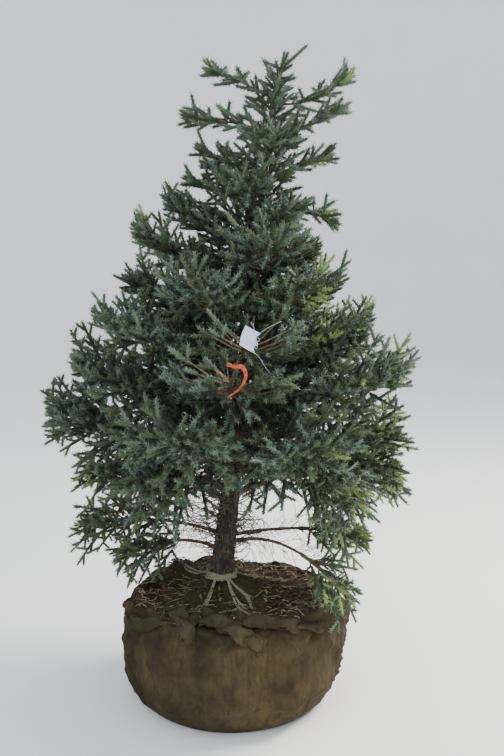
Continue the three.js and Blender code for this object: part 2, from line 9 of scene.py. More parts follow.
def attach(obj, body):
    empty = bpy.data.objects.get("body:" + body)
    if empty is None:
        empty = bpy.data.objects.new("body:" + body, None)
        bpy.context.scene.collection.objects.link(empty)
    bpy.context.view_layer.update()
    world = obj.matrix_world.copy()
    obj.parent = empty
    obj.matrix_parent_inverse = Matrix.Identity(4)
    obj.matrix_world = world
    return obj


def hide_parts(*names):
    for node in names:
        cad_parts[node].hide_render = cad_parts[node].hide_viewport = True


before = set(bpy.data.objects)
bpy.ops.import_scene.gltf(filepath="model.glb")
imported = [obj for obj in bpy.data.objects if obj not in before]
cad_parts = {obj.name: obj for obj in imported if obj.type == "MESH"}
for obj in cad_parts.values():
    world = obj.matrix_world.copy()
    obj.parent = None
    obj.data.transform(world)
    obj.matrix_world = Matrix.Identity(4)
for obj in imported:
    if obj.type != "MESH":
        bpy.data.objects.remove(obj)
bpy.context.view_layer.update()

# Camera: a standing viewer's eye, looking along +Y and a little down
camera = {
    "place": (0.0746, -3.5, 1.727),
    "pitch": 8.0,  # degrees below level
    "focal": 945,  # pixels of the photograph's frame
    "frameHeight": 756,
    "sensor": 36,
}


def makeCamera():
    lookDown = math.radians(90 - camera["pitch"])
    bpy.ops.object.camera_add(location=camera["place"], rotation=(lookDown, 0, 0))
    view = bpy.context.object
    view.data.lens = camera["sensor"] * camera["focal"] / camera["frameHeight"]
    bpy.context.scene.camera = view


makeCamera()
print("camera placed")

# Shader building
class Value:
    # a socket that takes part in arithmetic: each operator adds one Math node
    def __init__(self, paint, socket):
        self.paint = paint
        self.socket = socket

    def worked(self, operation, first, second):
        return self.paint.node("ShaderNodeMath", {"operation": operation}, {0: first, 1: second})

    def __add__(self, other):
        return self.worked("ADD", self, other)

    def __sub__(self, other):
        return self.worked("SUBTRACT", self, other)

    def __rsub__(self, other):
        return self.worked("SUBTRACT", other, self)

    def __mul__(self, other):
        return self.worked("MULTIPLY", self, other)

    __radd__ = __add__
    __rmul__ = __mul__


class Paint:
    # one material, built up from nodes
    def __init__(self, name):
        self.material = bpy.data.materials.new(name)
        self.material.use_nodes = True
        self.tree = self.material.node_tree
        self.shader = self.tree.nodes["Principled BSDF"]

    def node(self, kind, settings=None, sockets=None, out=0):
        made = self.tree.nodes.new(kind)
        for key, value in (settings or {}).items():
            if key == "stops":
                self.setStops(made.color_ramp, value)
            else:
                setattr(made, key, value)
        for key, value in (sockets or {}).items():
            self.feed(made.inputs[key], value)
        return Value(self, made.outputs[out])

    def setStops(self, ramp, stops):
        while len(ramp.elements) < len(stops):
            ramp.elements.new(0.5)
        for element, (place, shade) in zip(ramp.elements, stops):
            element.position = place
            element.color = (shade, shade, shade, 1)

    def feed(self, socket, value):
        if isinstance(value, Value):
            self.tree.links.new(value.socket, socket)
        else:
            socket.default_value = value

    def objectPlace(self, stretch=(1, 1, 1)):
        place = self.node("ShaderNodeTexCoord", out=3)
        return self.node("ShaderNodeMapping", sockets={"Vector": place, "Scale": stretch})

    def noise(self, place, scale, detail=3, roughness=0.55):
        sockets = {"Vector": place, "Scale": scale, "Detail": detail, "Roughness": roughness}
        return self.node("ShaderNodeTexNoise", {}, sockets)

    def ramp(self, value, low, high):
        return self.node("ShaderNodeValToRGB", {"stops": [(low, 0), (high, 1)]}, {"Fac": value})

    def colours(self, share, first, second):
        first = first if isinstance(first, Value) else (*first, 1)
        second = second if isinstance(second, Value) else (*second, 1)
        return self.node("ShaderNodeMix", {"data_type": "RGBA"}, {0: share, 6: first, 7: second}, out=2)

    def finish(self, colour, roughness, height=None, depth=0.001, strength=0.6, specular=0.3):
        self.feed(self.shader.inputs["Base Color"], colour)
        self.feed(self.shader.inputs["Roughness"], roughness)
        self.shader.inputs["Specular IOR Level"].default_value = specular
        if height is not None:
            sockets = {"Height": height, "Distance": depth, "Strength": strength}
            bump = self.node("ShaderNodeBump", {}, sockets)
            self.feed(self.shader.inputs["Normal"], bump)
        return self.material


# Needle colours, each one a plain tint dealt out by spray, and the tint of the spray's own tips
# The darkest tint is partly the older needles' own colour and partly painted shade inside the crown; the
# sunlit one is painted sunlight on the outer sprays of the lit sides.
needleTints = {
    "deep": {"from": (0.022, 0.032, 0.022), "to": (0.040, 0.054, 0.037), "roughness": 0.62, "tips": "green"},
    "blue": {"from": (0.041, 0.064, 0.046), "to": (0.069, 0.101, 0.073), "roughness": 0.54, "tips": "pale"},
    "green": {"from": (0.040, 0.060, 0.028), "to": (0.067, 0.096, 0.044), "roughness": 0.52, "tips": "soft"},
    "soft": {"from": (0.070, 0.106, 0.064), "to": (0.115, 0.162, 0.098), "roughness": 0.52, "tips": "pale"},
    "pale": {"from": (0.098, 0.146, 0.104), "to": (0.160, 0.222, 0.160), "roughness": 0.5, "tips": "pale"},
    "sunlit": {"from": (0.14, 0.205, 0.068), "to": (0.255, 0.34, 0.112), "roughness": 0.48, "tips": "sunlit"},
    "olive": {"from": (0.056, 0.058, 0.026), "to": (0.094, 0.086, 0.040), "roughness": 0.65, "tips": "olive"},
}


def paintNeedles(name):
    tint = needleTints[name]
    paint = Paint("needles_" + name)
    mottle = paint.noise(paint.objectPlace(), 46, 2)
    streak = paint.noise(paint.objectPlace(), 320, 1)
    share = paint.ramp(0.7 * mottle + 0.3 * streak, 0.36, 0.64)
    colour = paint.colours(share, tint["from"], tint["to"])
    return paint.finish(colour, tint["roughness"] + 0.12 * (mottle - 0.5), specular=0.35)


def paintTwigs():
    paint = Paint("twig_bark")
    grain = paint.noise(paint.objectPlace(), 90, 3)
    tan = paint.colours(paint.ramp(grain, 0.35, 0.65), (0.105, 0.074, 0.047), (0.255, 0.190, 0.122))
    ridges = paint.noise(paint.objectPlace(), 600, 2)
    return paint.finish(tan, 0.72 + 0.2 * (grain - 0.5), ridges, 0.0006)


def paintDryTwigs():
    paint = Paint("dry_twig_bark")
    grain = paint.noise(paint.objectPlace(), 70, 3)
    grey = paint.colours(paint.ramp(grain, 0.4, 0.6), (0.052, 0.038, 0.027), (0.165, 0.125, 0.090))
    return paint.finish(grey, 0.8 + 0.15 * (grain - 0.5), paint.noise(paint.objectPlace(), 500, 2), 0.0005)


def paintBark(name, dark, light, upright):
    paint = Paint(name)
    fibres = paint.noise(paint.objectPlace((1, 1, upright)), 150, 5, 0.62)
    plates = paint.noise(paint.objectPlace((1, 1, upright * 2)), 42, 3)
    threads = paint.ramp(paint.noise(paint.objectPlace((1, 1, upright * 0.6)), 330, 2), 0.6, 0.74)
    brown = paint.colours(paint.ramp(fibres, 0.34, 0.66), dark, light)
    shaded = paint.colours(0.55 * paint.ramp(plates, 0.55, 0.35), brown, tuple(0.35 * c for c in dark))
    grey = paint.colours(0.5 * threads, shaded, (0.27, 0.235, 0.20))
    relief = 0.6 * fibres + 0.4 * plates
    return paint.finish(grey, 0.86 + 0.1 * (fibres - 0.5), relief, 0.004, 0.8, 0.2)


def paintBurlap():
    paint = Paint("burlap_weave")
    place = paint.objectPlace()
    upright = paint.noise(paint.objectPlace((1, 1, 0.06)), 165, 2)
    level = paint.noise(paint.objectPlace((0.09, 0.09, 1)), 180, 2)
    fine = paint.noise(place, 520, 2)
    weave = 0.42 * upright + 0.38 * level + 0.20 * fine
    patches = paint.noise(place, 7.5, 5, 0.6)
    stains = paint.noise(place, 3.1, 4)
    streaks = paint.noise(paint.objectPlace((1, 1, 0.18)), 26, 4, 0.6)
    olive = paint.colours(paint.ramp(patches, 0.38, 0.62), (0.026, 0.0195, 0.0102), (0.066, 0.050, 0.0240))
    rust = paint.colours(0.5 * paint.ramp(stains, 0.50, 0.64), olive, (0.088, 0.057, 0.025))
    damp = paint.colours(0.4 * paint.ramp(streaks, 0.50, 0.66), rust, (0.024, 0.019, 0.013))
    height = paint.node("ShaderNodeSeparateXYZ", {}, {"Vector": place}, out=2)
    upper = paint.ramp(height + 0.10 * (patches - 0.5), 0.375, 0.42)
    dusty = paint.colours(0.5 * upper, damp, (0.050, 0.043, 0.027))
    grain = paint.noise(paint.objectPlace((1, 1, 0.08)), 72, 3, 0.6)
    grained = paint.colours(0.55 * paint.ramp(grain, 0.48, 0.62), dusty, (0.026, 0.021, 0.013))
    woven = paint.colours(0.8 * paint.ramp(weave, 0.62, 0.41), grained, (0.015, 0.012, 0.008))
    return paint.finish(woven, 0.95 - 0.12 * weave, 0.75 * weave + 0.25 * grain, 0.0032, 0.9, 0.12)


def paintTwine():
    paint = Paint("twine_fibre")
    fibres = paint.noise(paint.objectPlace(), 260, 4, 0.65)
    hairs = paint.noise(paint.objectPlace(), 900, 2)
    tan = paint.colours(paint.ramp(fibres, 0.35, 0.65), (0.170, 0.136, 0.098), (0.37, 0.315, 0.24))
    return paint.finish(tan, 0.9 - 0.1 * fibres, 0.5 * fibres + 0.5 * hairs, 0.0008, 0.8, 0.15)


def paintRibbon():
    paint = Paint("flagging_film")
    creases = paint.noise(paint.objectPlace((1, 1, 3)), 60, 3)
    # the orange follows the bumped creases, darker in their hollows and brighter on their ridges: painted
    # shade and painted light
    creaseShadedOrange = paint.colours(paint.ramp(creases, 0.4, 0.62), (0.25, 0.027, 0.007), (0.52, 0.082, 0.018))
    return paint.finish(creaseShadedOrange, 0.36 + 0.25 * creases, creases, 0.0012, 0.5, 0.5)


def paintTag():
    paint = Paint("tag_paper")
    stains = paint.noise(paint.objectPlace(), 38, 4)
    fibres = paint.noise(paint.objectPlace(), 420, 2)
    white = paint.colours(paint.ramp(stains, 0.45, 0.72), (0.60, 0.65, 0.78), (0.46, 0.50, 0.62))
    return paint.finish(white, 0.5 + 0.2 * stains, 0.7 * stains + 0.3 * fibres, 0.0006, 0.4, 0.4)


def paintTie():
    paint = Paint("tie_wire")
    scuffs = paint.noise(paint.objectPlace(), 240, 3)
    grey = paint.colours(paint.ramp(scuffs, 0.4, 0.62), (0.30, 0.30, 0.37), (0.52, 0.52, 0.60))
    return paint.finish(grey, 0.45 + 0.2 * scuffs, scuffs, 0.0004, 0.4, 0.4)


def paintChips(name, dark, light):
    paint = Paint(name)
    grain = paint.noise(paint.objectPlace(), 120, 4, 0.6)
    wood = paint.colours(paint.ramp(grain, 0.35, 0.65), dark, light)
    return paint.finish(wood, 0.85 + 0.15 * (grain - 0.5), grain, 0.0012, 0.7, 0.15)


def paintStage():
    paint = Paint("stage_floor")
    mottle = paint.noise(paint.objectPlace(), 1.3, 3)
    grey = paint.colours(mottle, (0.90, 0.90, 0.89), (0.93, 0.93, 0.92))
    return paint.finish(grey, 0.9 + 0.05 * (mottle - 0.5))


paints = {name: paintNeedles(name) for name in needleTints}
paints["twigs"] = paintTwigs()
paints["dryTwigs"] = paintDryTwigs()
paints["trunk"] = paintBark("trunk_bark", (0.020, 0.015, 0.012), (0.074, 0.056, 0.043), 0.16)
paints["boughs"] = paintBark("bough_bark", (0.036, 0.025, 0.018), (0.130, 0.088, 0.058), 1)
paints["burlap"] = paintBurlap()
paints["twine"] = paintTwine()
paints["ribbon"] = paintRibbon()
paints["tag"] = paintTag()
paints["tie"] = paintTie()
paints["chipsDark"] = paintChips("wood_chips_dark", (0.035, 0.024, 0.017), (0.120, 0.082, 0.056))
paints["chipsPale"] = paintChips("wood_chips_pale", (0.200, 0.140, 0.085), (0.420, 0.330, 0.220))
print("materials made")

# Common tools
def clearSelection():
    if bpy.context.mode != "OBJECT":
        bpy.ops.object.mode_set(mode="OBJECT")
    bpy.ops.object.select_all(action="DESELECT")


def setPiece(piece, paint, nodes=()):
    piece.data.materials.clear()
    piece.data.materials.append(paints[paint])
    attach(piece, "root")
    if nodes:
        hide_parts(*nodes)


def pieceFromArrays(name, points, corners, smooth=False):
    mesh = bpy.data.meshes.new(name)
    mesh.vertices.add(len(points))
    mesh.vertices.foreach_set("co", points.astype(np.float32).ravel())
    mesh.loops.add(corners.size)
    mesh.loops.foreach_set("vertex_index", corners.astype(np.int32).ravel())
    mesh.polygons.add(len(corners))
    mesh.polygons.foreach_set("loop_start", np.arange(0, corners.size, 3, dtype=np.int32))
    mesh.update(calc_edges=True)
    if smooth:
        mesh.shade_smooth()
    else:
        mesh.shade_flat()
    piece = bpy.data.objects.new(name, mesh)
    bpy.context.scene.collection.objects.link(piece)
    return piece


def choose(pieces):
    clearSelection()
    for piece in pieces:
        piece.select_set(True)
    bpy.context.view_layer.objects.active = pieces[0]


def applyModifiers(piece):
    choose([piece])
    for modifier in list(piece.modifiers):
        bpy.ops.object.modifier_apply(modifier=modifier.name)


# Clouds that push the surface in and out by the strength
def crumple(piece, scale, strength, depth=2):
    creases = bpy.data.textures.new(piece.name + "_creases", "CLOUDS")
    creases.noise_scale = scale
    creases.noise_depth = depth
    crumpled = piece.modifiers.new("crumple", "DISPLACE")
    crumpled.texture = creases
    crumpled.texture_coords = "GLOBAL"
    crumpled.strength = strength


# Gives a flat sheet its thickness
def thicken(piece, thickness):
    sheet = piece.modifiers.new("sheet", "SOLIDIFY")
    sheet.thickness = thickness
    sheet.offset = 0
    applyModifiers(piece)
    bpy.ops.object.shade_smooth()


def joinPieces(pieces, name):
    choose(pieces)
    bpy.ops.object.join()
    pieces[0].name = name
    pieces[0].data.name = name
    return pieces[0]


# Rings of points one unit apart, left in edit mode; the caller then places each point by its ring and angle
def stackedRings(name, sides, rings, radius=1, fill="NGON"):
    clearSelection()
    bpy.ops.mesh.primitive_circle_add(vertices=sides, radius=radius, fill_type=fill)
    piece = bpy.context.object
    piece.name = name
    bpy.ops.object.mode_set(mode="EDIT")
    bpy.ops.mesh.select_all(action="SELECT")
    for _ in range(rings - 1):
        bpy.ops.mesh.extrude_region_move(TRANSFORM_OT_translate={"value": (0, 0, 1)})
    return piece


def turnOutward():
    bpy.ops.mesh.select_all(action="SELECT")
    bpy.ops.mesh.normals_make_consistent(inside=False)
    bpy.ops.object.mode_set(mode="OBJECT")


def unit(vectors):
    return vectors / np.maximum(np.linalg.norm(vectors, axis=-1, keepdims=True), 1e-9)


def mix(a, b, share):
    return a + (b - a) * share


# The same seeded draw as the source's, 0 to 1, for a pair of whole numbers or arrays of them
def draw(a, b=0):
    wave = np.sin(np.asarray(a) * 12.9898 + np.asarray(b) * 78.233) * 43758.5453
    return wave - np.floor(wave)


# Two directions square to each axis, the first one level unless the axis is steeper than the given share
def crossAxes(axes, steep=0.92):
    guide = np.where(np.abs(axes[..., 2:]) > steep, np.array([1.0, 0, 0]), np.array([0, 0, 1.0]))
    across = unit(np.cross(axes, guide))
    return across, np.cross(across, axes)


# Many closed tubes at once: points is (tubes, rings, 3) and radii is (tubes, rings)
def tubeArrays(points, radii, sides):
    count, rings, _ = points.shape
    across, rise = crossAxes(unit(np.gradient(points, axis=1)))
    turns = np.arange(sides) * 2 * math.pi / sides
    ring = (
        across[:, :, None] * np.cos(turns)[None, None, :, None]
        + rise[:, :, None] * np.sin(turns)[None, None, :, None]
    )
    skin = points[:, :, None] + ring * radii[:, :, None, None]
    faces = []
    for level in range(rings - 1):
        for side in range(sides):
            a = level * sides + side
            b = level * sides + (side + 1) % sides
            faces += [(a, b, b + sides), (a, b + sides, a + sides)]
    last = (rings - 1) * sides
    for side in range(1, sides - 1):
        faces += [(0, side + 1, side), (last, last + side, last + side + 1)]
    faces = np.array(faces)
    corners = faces[None] + (np.arange(count) * rings * sides)[:, None, None]
    return skin.reshape(-1, 3), corners.reshape(-1, 3)


def stackArrays(parts):
    offset = 0
    allPoints = []
    allCorners = []
    for points, corners in parts:
        allPoints.append(points)
        allCorners.append(corners + offset)
        offset += len(points)
    return np.concatenate(allPoints), np.concatenate(allCorners)


# Trunk and limbs, by the source's rule, in metres
trunk = {
    "footX": -0.045,
    "footZ": 0.4603,
    "tipZ": 2.366,
    "lean": 0.1086,
    "kickZ": 2.177,
    "kick": 0.022,
    "sway": 0.006,
    "swayLength": 0.26,
    "footRadius": 0.043,
    "tipRadius": 0.003,
    "flare": 0.010,
    "flareFall": 0.045,
    "flareLobes": 5,
}
ballHeight = 0.46


def trunkCentre(z):
    z = np.asarray(z, float)
    rise = z - ballHeight
    over = np.maximum(0, (z - trunk["kickZ"]) / (trunk["tipZ"] - trunk["kickZ"]))
    x = trunk["footX"] + trunk["lean"] * rise + trunk["kick"] * over * over
    return np.stack([x, trunk["sway"] * np.sin(rise / trunk["swayLength"]), z], axis=-1)


def trunkRadius(z):
    z = np.asarray(z, float)
    share = (z - ballHeight) / (trunk["tipZ"] - ballHeight)
    return mix(trunk["footRadius"], trunk["tipRadius"], share) + trunk["flare"] * np.exp(
        (ballHeight - z) / trunk["flareFall"]
    )


# name, height, azimuth, level reach, lift, bow, half width, bare share: azimuth 0 is +X and 90 is +Y
skirtLimbs = [
    ("skirt_front", 0.590, -29, 0.545, -0.150, 0.108, 0.120, 0.6),
    ("skirt_right", 0.622, 2, 0.565, -0.010, 0.034, 0.130, 0.5),
    ("skirt_left_front", 0.567, 199, 0.430, -0.002, 0.062, 0.140, 0.34),
    ("skirt_left", 0.630, 177, 0.585, 0.022, 0.044, 0.180, 0.3),
]
lowLimbs = [
    ("low_right", 0.775, 5, 0.680, 0.080, 0.066, 0.210, 0),
    ("low_right_front", 0.850, -36, 0.575, -0.040, 0.105, 0.200, 0.3),
    ("low_left_front", 0.800, 222, 0.470, 0.072, 0.060, 0.200, 0),
    ("low_left_back", 0.760, 157, 0.640, 0.062, 0.050, 0.220, 0),
    ("low_back", 0.780, 85, 0.560, 0.060, 0.060, 0.220, 0),
]
# name, height, count, turn, left, right and depth reach, lift, tilt, half width
whorls = [
    ("lower", 0.925, 6, 6, 0.722, 0.660, 0.560, 0.175, -0.058, 0.230),
    ("middle", 1.085, 5, -22, 0.640, 0.660, 0.540, 0.222, 0.010, 0.240),
    ("upper", 1.245, 5, -12, 0.560, 0.490, 0.480, 0.225, 0.014, 0.215),
    ("shoulder", 1.405, 5, 24, 0.470, 0.340, 0.400, 0.220, -0.010, 0.185),
]
neckLimbs = [
    ("neck_left", 1.560, 192, 0.440, 0.240, -0.018, 0.170, 0),
    ("neck_front", 1.575, 284, 0.330, 0.200, -0.010, 0.160, 0),
    ("neck_right", 1.590, 8, 0.250, 0.130, 0, 0.140, 0),
    ("neck_back", 1.600, 100, 0.330, 0.200, -0.010, 0.160, 0),
    ("throat_left", 1.715, 183, 0.350, 0.190, -0.012, 0.140, 0),
    ("throat_front", 1.735, 304, 0.225, 0.140, -0.006, 0.120, 0),
    ("throat_back", 1.745, 62, 0.235, 0.140, -0.006, 0.120, 0),
]
columnLimbs = [
    ("column_front_1", 1.830, 250, 0.215, 0.130, -0.006, 0.125, 0),
    ("column_back_1", 1.850, 110, 0.215, 0.130, -0.006, 0.125, 0),
    ("column_front_2", 2.010, 285, 0.170, 0.130, -0.006, 0.110, 0),
    ("column_back_2", 2.035, 78, 0.170, 0.130, -0.006, 0.110, 0),
]
topLimbs = [
    ("top_right_1", 1.850, -6, 0.292, -0.052, 0.030, 0.084, 0),
    ("top_left_1", 1.880, 181, 0.290, 0.088, -0.008, 0.110, 0),
    ("top_right_2", 1.960, 8, 0.262, 0.096, 0.004, 0.090, 0),
    ("top_left_2", 1.990, 172, 0.262, 0.088, -0.006, 0.096, 0),
    ("top_right_3", 2.120, -18, 0.300, 0.100, -0.016, 0.084, 0),
    ("top_left_3", 2.130, 168, 0.328, 0.058, 0.014, 0.084, 0),
    ("top_right_4", 2.232, 14, 0.310, 0.132, -0.042, 0.076, 0),
    ("top_left_4", 2.246, 196, 0.258, 0.096, 0.010, 0.076, 0),
]


def singleLimbs(rows, kind, rootRadius, zone):
    keys = ("name", "z", "azimuth", "reach", "lift", "bow", "width", "bare")
    return [dict(zip(keys, row), kind=kind, rootRadius=rootRadius, zone=zone) for row in rows]


whorlRule = {
    "turnSpread": 8,  # degrees
    "levelSpread": 0.044,
    "reachSpread": 0.06,
    "bow": -0.006,
    "rootRadius": 0.009,
}


def whorlLimbs(row, order, zone):
    name, level, count, turn, left, right, depth, lift, tilt, width = row
    made = []
    for i in range(count):
        azimuth = turn + 360 * i / count + whorlRule["turnSpread"] * (float(draw(order, i)) - 0.5)
        across = math.cos(math.radians(azimuth))
        reach = mix(depth, right if across > 0 else left, across * across)
        made.append({
            "name": f"{name}_{i + 1}",
            "z": level + whorlRule["levelSpread"] * (float(draw(order, i + 20)) - 0.5),
            "azimuth": azimuth,
            "reach": reach * (1 + whorlRule["reachSpread"] * (float(draw(order, i + 40)) - 0.5)),
            "lift": lift + tilt * across,
            "bow": whorlRule["bow"],
            "width": width,
            "bare": 0,
            "kind": "dense",
            "rootRadius": whorlRule["rootRadius"],
            "zone": zone,
        })
    return made


whorlZones = ("lower", "lower", "upper", "upper")
limbs = [
    *singleLimbs(skirtLimbs, "open", 0.0085, "skirt"),
    *singleLimbs(lowLimbs, "dense", 0.012, "skirt"),
    *[limb for i, row in enumerate(whorls) for limb in whorlLimbs(row, i + 1, whorlZones[i])],
    *singleLimbs(neckLimbs, "dense", 0.007, "top"),
    *singleLimbs(columnLimbs, "dense", 0.005, "top"),
    *singleLimbs(topLimbs, "top", 0.0045, "top"),
]
zones = ("skirt", "lower", "upper", "top")
sprayLengths = {"open": 0.122, "dense": 0.150, "top": 0.104}
limbTipRadius = 0.0026


def limbPoint(limb, t):
    t = np.asarray(t, float)
    root = trunkCentre(limb["z"])
    turn = math.radians(limb["azimuth"])
    along = limb["reach"] * t
    height = limb["z"] + limb["lift"] * t + 4 * limb["bow"] * t * (1 - t)
    return np.stack([root[0] + along * math.cos(turn), root[1] + along * math.sin(turn), height], axis=-1)


def limbTangent(limb, t):
    t = np.asarray(t, float)
    return unit(limbPoint(limb, t + 0.01) - limbPoint(limb, t - 0.01))


def limbSide(limb):
    turn = math.radians(limb["azimuth"])
    return np.array([-math.sin(turn), math.cos(turn), 0.0])


def limbRadius(limb, t):
    return mix(limb["rootRadius"], limbTipRadius, np.power(t, 0.8))


def plateShare(t):
    return np.power(np.sin(math.pi * mix(0.2, 0.93, np.asarray(t, float))), 0.8)


def stemEnd(limb):
    return 1 - 0.8 * sprayLengths[limb["kind"]] / limb["reach"]


def limbValues(key, own):
    return np.array([limb[key] for limb in limbs])[own]


def limbNamed(name):
    return next(limb for limb in limbs if limb["name"] == name)


# Two front limbs end in a bare spur that carries the tag or the ribbon
def spurOf(name, lean, out, rise):
    start = limbPoint(limbNamed(name), stemEnd(limbNamed(name)) - 0.04)
    return {"limb": name, "from": start, "to": start + np.array([lean, -out, rise])}


tagSpur = spurOf("upper_5", 0.030, 0.122, 0.118)
ribbonSpur = spurOf("middle_5", 0.030, 0.104, 0.104)
reserved = [
    (tagSpur["to"], tagSpur["to"] + np.array([0, 0, -0.110]), 0.060),
    (ribbonSpur["to"], ribbonSpur["to"] + np.array([0, 0.020, -0.140]), 0.052),
]

ballOutline = [
    (0.0, 0.0),
    (0.335, 0.0),
    (0.390, 0.052),
    (0.424, 0.140),
    (0.432, 0.225),
    (0.424, 0.306),
    (0.403, 0.362),
    (0.376, 0.398),
    (0.338, 0.400),
    (0.300, 0.390),
    (0.200, 0.404),
    (0.110, 0.436),
    (0.066, 0.460),
    (0.0, 0.460),
]


def ballTop(radius):
    outer = ballOutline[4:]
    radii = np.array([r for r, _ in outer][::-1])
    levels = np.array([z for _, z in outer][::-1])
    return np.interp(radius, radii, levels)


# How far points stand inside their own limb's space, by the source's rule. The space between masses may be
# shared by a little; what keeps clear of the trunk, the ball, the tag and the ribbon is kept strictly.
paths = np.array([limbPoint(limb, np.linspace(0, 1, 13)) for limb in limbs])
rootRadii = np.array([limb["rootRadius"] for limb in limbs])
limbReaches = np.array([limb["reach"] for limb in limbs])
limbTurns = np.radians([limb["azimuth"] for limb in limbs])
room = {
    "shared": 0.012,  # how far masses may lean into each other's space
    "stem": 1.6,  # a limb's own space, for its radius
    "tip": 0.004,  # kept free before the end of the limb's reach
    "ballReach": 0.432,
    "aroundBall": 0.462,
    "aboveBall": 0.040,
    "batch": 4000,  # points measured at a time
    "far": 9,
}


def distancesTo(points, starts, ends):
    steps = ends - starts
    offset = points[:, None] - starts[None]
    share = np.einsum("nsk,sk->ns", offset, steps) / np.einsum("sk,sk->s", steps, steps)
    share = np.clip(share, 0, 1)
    return np.linalg.norm(offset - share[..., None] * steps[None], axis=-1)


def limbDistances(points):
    starts = paths[:, :-1].reshape(-1, 3)
    ends = paths[:, 1:].reshape(-1, 3)
    near = np.empty((len(points), len(limbs)))
    for first in range(0, len(points), room["batch"]):
        part = slice(first, first + room["batch"])
        near[part] = distancesTo(points[part], starts, ends).reshape(-1, len(limbs), 12).min(2)
    return near


def roomBetween(points, own):
    near = limbDistances(points)
    rows = np.arange(len(near))
    mine = near[rows, own]
    near[rows, own] = room["far"]
    free = np.minimum((near - mine[:, None]) / 2, near - room["stem"] * rootRadii[None]).min(1)
    free += room["shared"]
    turn = limbTurns[own]
    offset = points - paths[own, 0]
    along = offset[:, 0] * np.cos(turn) + offset[:, 1] * np.sin(turn)
    return np.minimum(free, limbReaches[own] - along - room["tip"])


def roomStrict(points):
    level = trunkCentre(points[:, 2])
    offAxis = np.hypot(points[:, 0] - level[:, 0], points[:, 1] - level[:, 1])
    free = np.where(points[:, 2] < trunk["tipZ"], offAxis - trunkRadius(points[:, 2]), room["far"])
    fromAxis = np.hypot(points[:, 0], points[:, 1])
    overBall = points[:, 2] - ballTop(np.minimum(fromAxis, room["ballReach"])) - room["aboveBall"]
    free = np.minimum(free, np.where(fromAxis < room["aroundBall"], overBall, room["far"]))
    for start, end, radius in reserved:
        free = np.minimum(free, distancesTo(points, start[None], end[None])[:, 0] - radius)
    return free


# Twigs: side twigs stand round each limb in rings, and each carries shoots to both hands
growth = {
    "step": {"open": 0.033, "dense": 0.041, "top": 0.026},
    "around": {"open": 4, "dense": 6, "top": 2},
    "first": {"open": 0.06, "dense": 0.27, "top": 0.18},
    "last": 0.95,
    "flat": {"skirt": 0.85, "low": 0.80, "lower": 0.74, "top": 0.55, "other": 0.6},
    "rootAngle": 62,
    "tipAngle": 40,
    "angleSpread": 14,
    "toSides": 0.34,  # turns more of the twigs to the sides than above and below
    "fullness": 0.55,  # under 1 makes the limbs' outer ends broader
    "shortest": 0.045,
    "lengthShare": (0.85, 1.25),
    "shootStep": {"open": 0.0245, "dense": 0.0245, "top": 0.036},
    "shootAngle": 50,
    "shootSpread": 18,
    "shootRoll": 2.0,
    "shootLift": {"hanging": -0.04, "rising": 0.16},
    "shootDroop": (0.02, 0.14),
    "firstShoot": 0.024,
    "endShare": 0.94,  # the most of a twig that its own last shoot takes up
    "endGain": 1.12,
    "endRoom": 0.036,  # the last stretch of a twig, which carries no side shoots
    "nearTip": (0.040, 0.7),  # the longest shoot at a twig's tip, and what it gains towards the root
    "clear": 0.004,
    "clearStrict": 0.010,
    # how far a side twig turns up, for its length
    "curve": {"skirt": -0.16, "low": -0.26, "lower": -0.08, "middle": 0.04, "other": 0.10},
    "bareShare": 0.32,
    "openBareShare": 0.85,
    # the front limbs' upper twigs carry no shoots on this share, so that their wood shows
    "openLimbs": ("upper_5", "middle_5"),
    "openShare": 0.62,
}
shootLengths = {"open": (0.036, 0.062), "dense": (0.038, 0.068), "top": (0.055, 0.088)}
twigSamples = (0.35, 0.6, 0.8, 1.0)


# A spot on each chosen twig at a share of its length, once that is cut to its size
def alongTwig(source, share, chosen=slice(None), size=1):
    length = source["length"][chosen] * size
    spot = source["root"][chosen] + source["direction"][chosen] * (length * share)[:, None]
    spot[:, 2] += source["droop"][chosen] * length * share * share
    return spot


def byTier(values, own):
    tiers = [limb["name"].split("_")[0] for limb in limbs]
    return np.array([values.get(tier, values["other"]) for tier in tiers])[own]


def sideTwigs():
    rows = []
    for order, limb in enumerate(limbs):
        kind = limb["kind"]
        start = mix(limb["bare"], 1, growth["first"][kind]) if limb["bare"] else growth["first"][kind]
        count = int(limb["reach"] * (growth["last"] - start) / growth["step"][kind])
        around = growth["around"][kind]
        for station in range(count):
            for place in range(around):
                seed = order * 1000 + station * 10 + place
                t = start + (growth["last"] - start) * (station + 0.2 + 0.6 * float(draw(seed, 1))) / count
                turn = 2 * math.pi * (place + 0.5 * (station % 2) + 0.5 * float(draw(seed, 2))) / around
                turn -= growth["toSides"] * math.sin(2 * turn)
                rows.append((order, t, turn, seed))
    own = np.array([row[0] for row in rows])
    t = np.array([row[1] for row in rows])
    turn = np.array([row[2] for row in rows])
    seed = np.array([row[3] for row in rows])
    root = np.array([limbPoint(limbs[o], s) for o, s in zip(own, t)])
    tangent = np.array([limbTangent(limbs[o], s) for o, s in zip(own, t)])
    side = np.array([limbSide(limbs[o]) for o in own])
    rise = np.cross(tangent, side)
    width = limbValues("width", own) * plateShare(t) ** growth["fullness"]
    out = side * np.cos(turn)[:, None] + rise * (byTier(growth["flat"], own) * np.sin(turn))[:, None]
    size = np.linalg.norm(out, axis=1)
    angle = mix(growth["rootAngle"], growth["tipAngle"], t) + growth["angleSpread"] * (draw(seed, 3) - 0.5)
    angle = np.radians(angle)
    direction = unit(tangent * np.cos(angle)[:, None] + unit(out) * np.sin(angle)[:, None])
    length = width * size * mix(*growth["lengthShare"], draw(seed, 4)) / np.sin(angle)
    return {
        "own": own,
        "seed": seed,
        "group": seed,
        "root": root,
        "direction": direction,
        "tangent": tangent,
        "length": np.maximum(growth["shortest"], length),
        "droop": byTier(growth["curve"], own),
        "open": np.isin(limbValues("name", own), growth["openLimbs"]) & (np.sin(turn) > -0.1),
    }


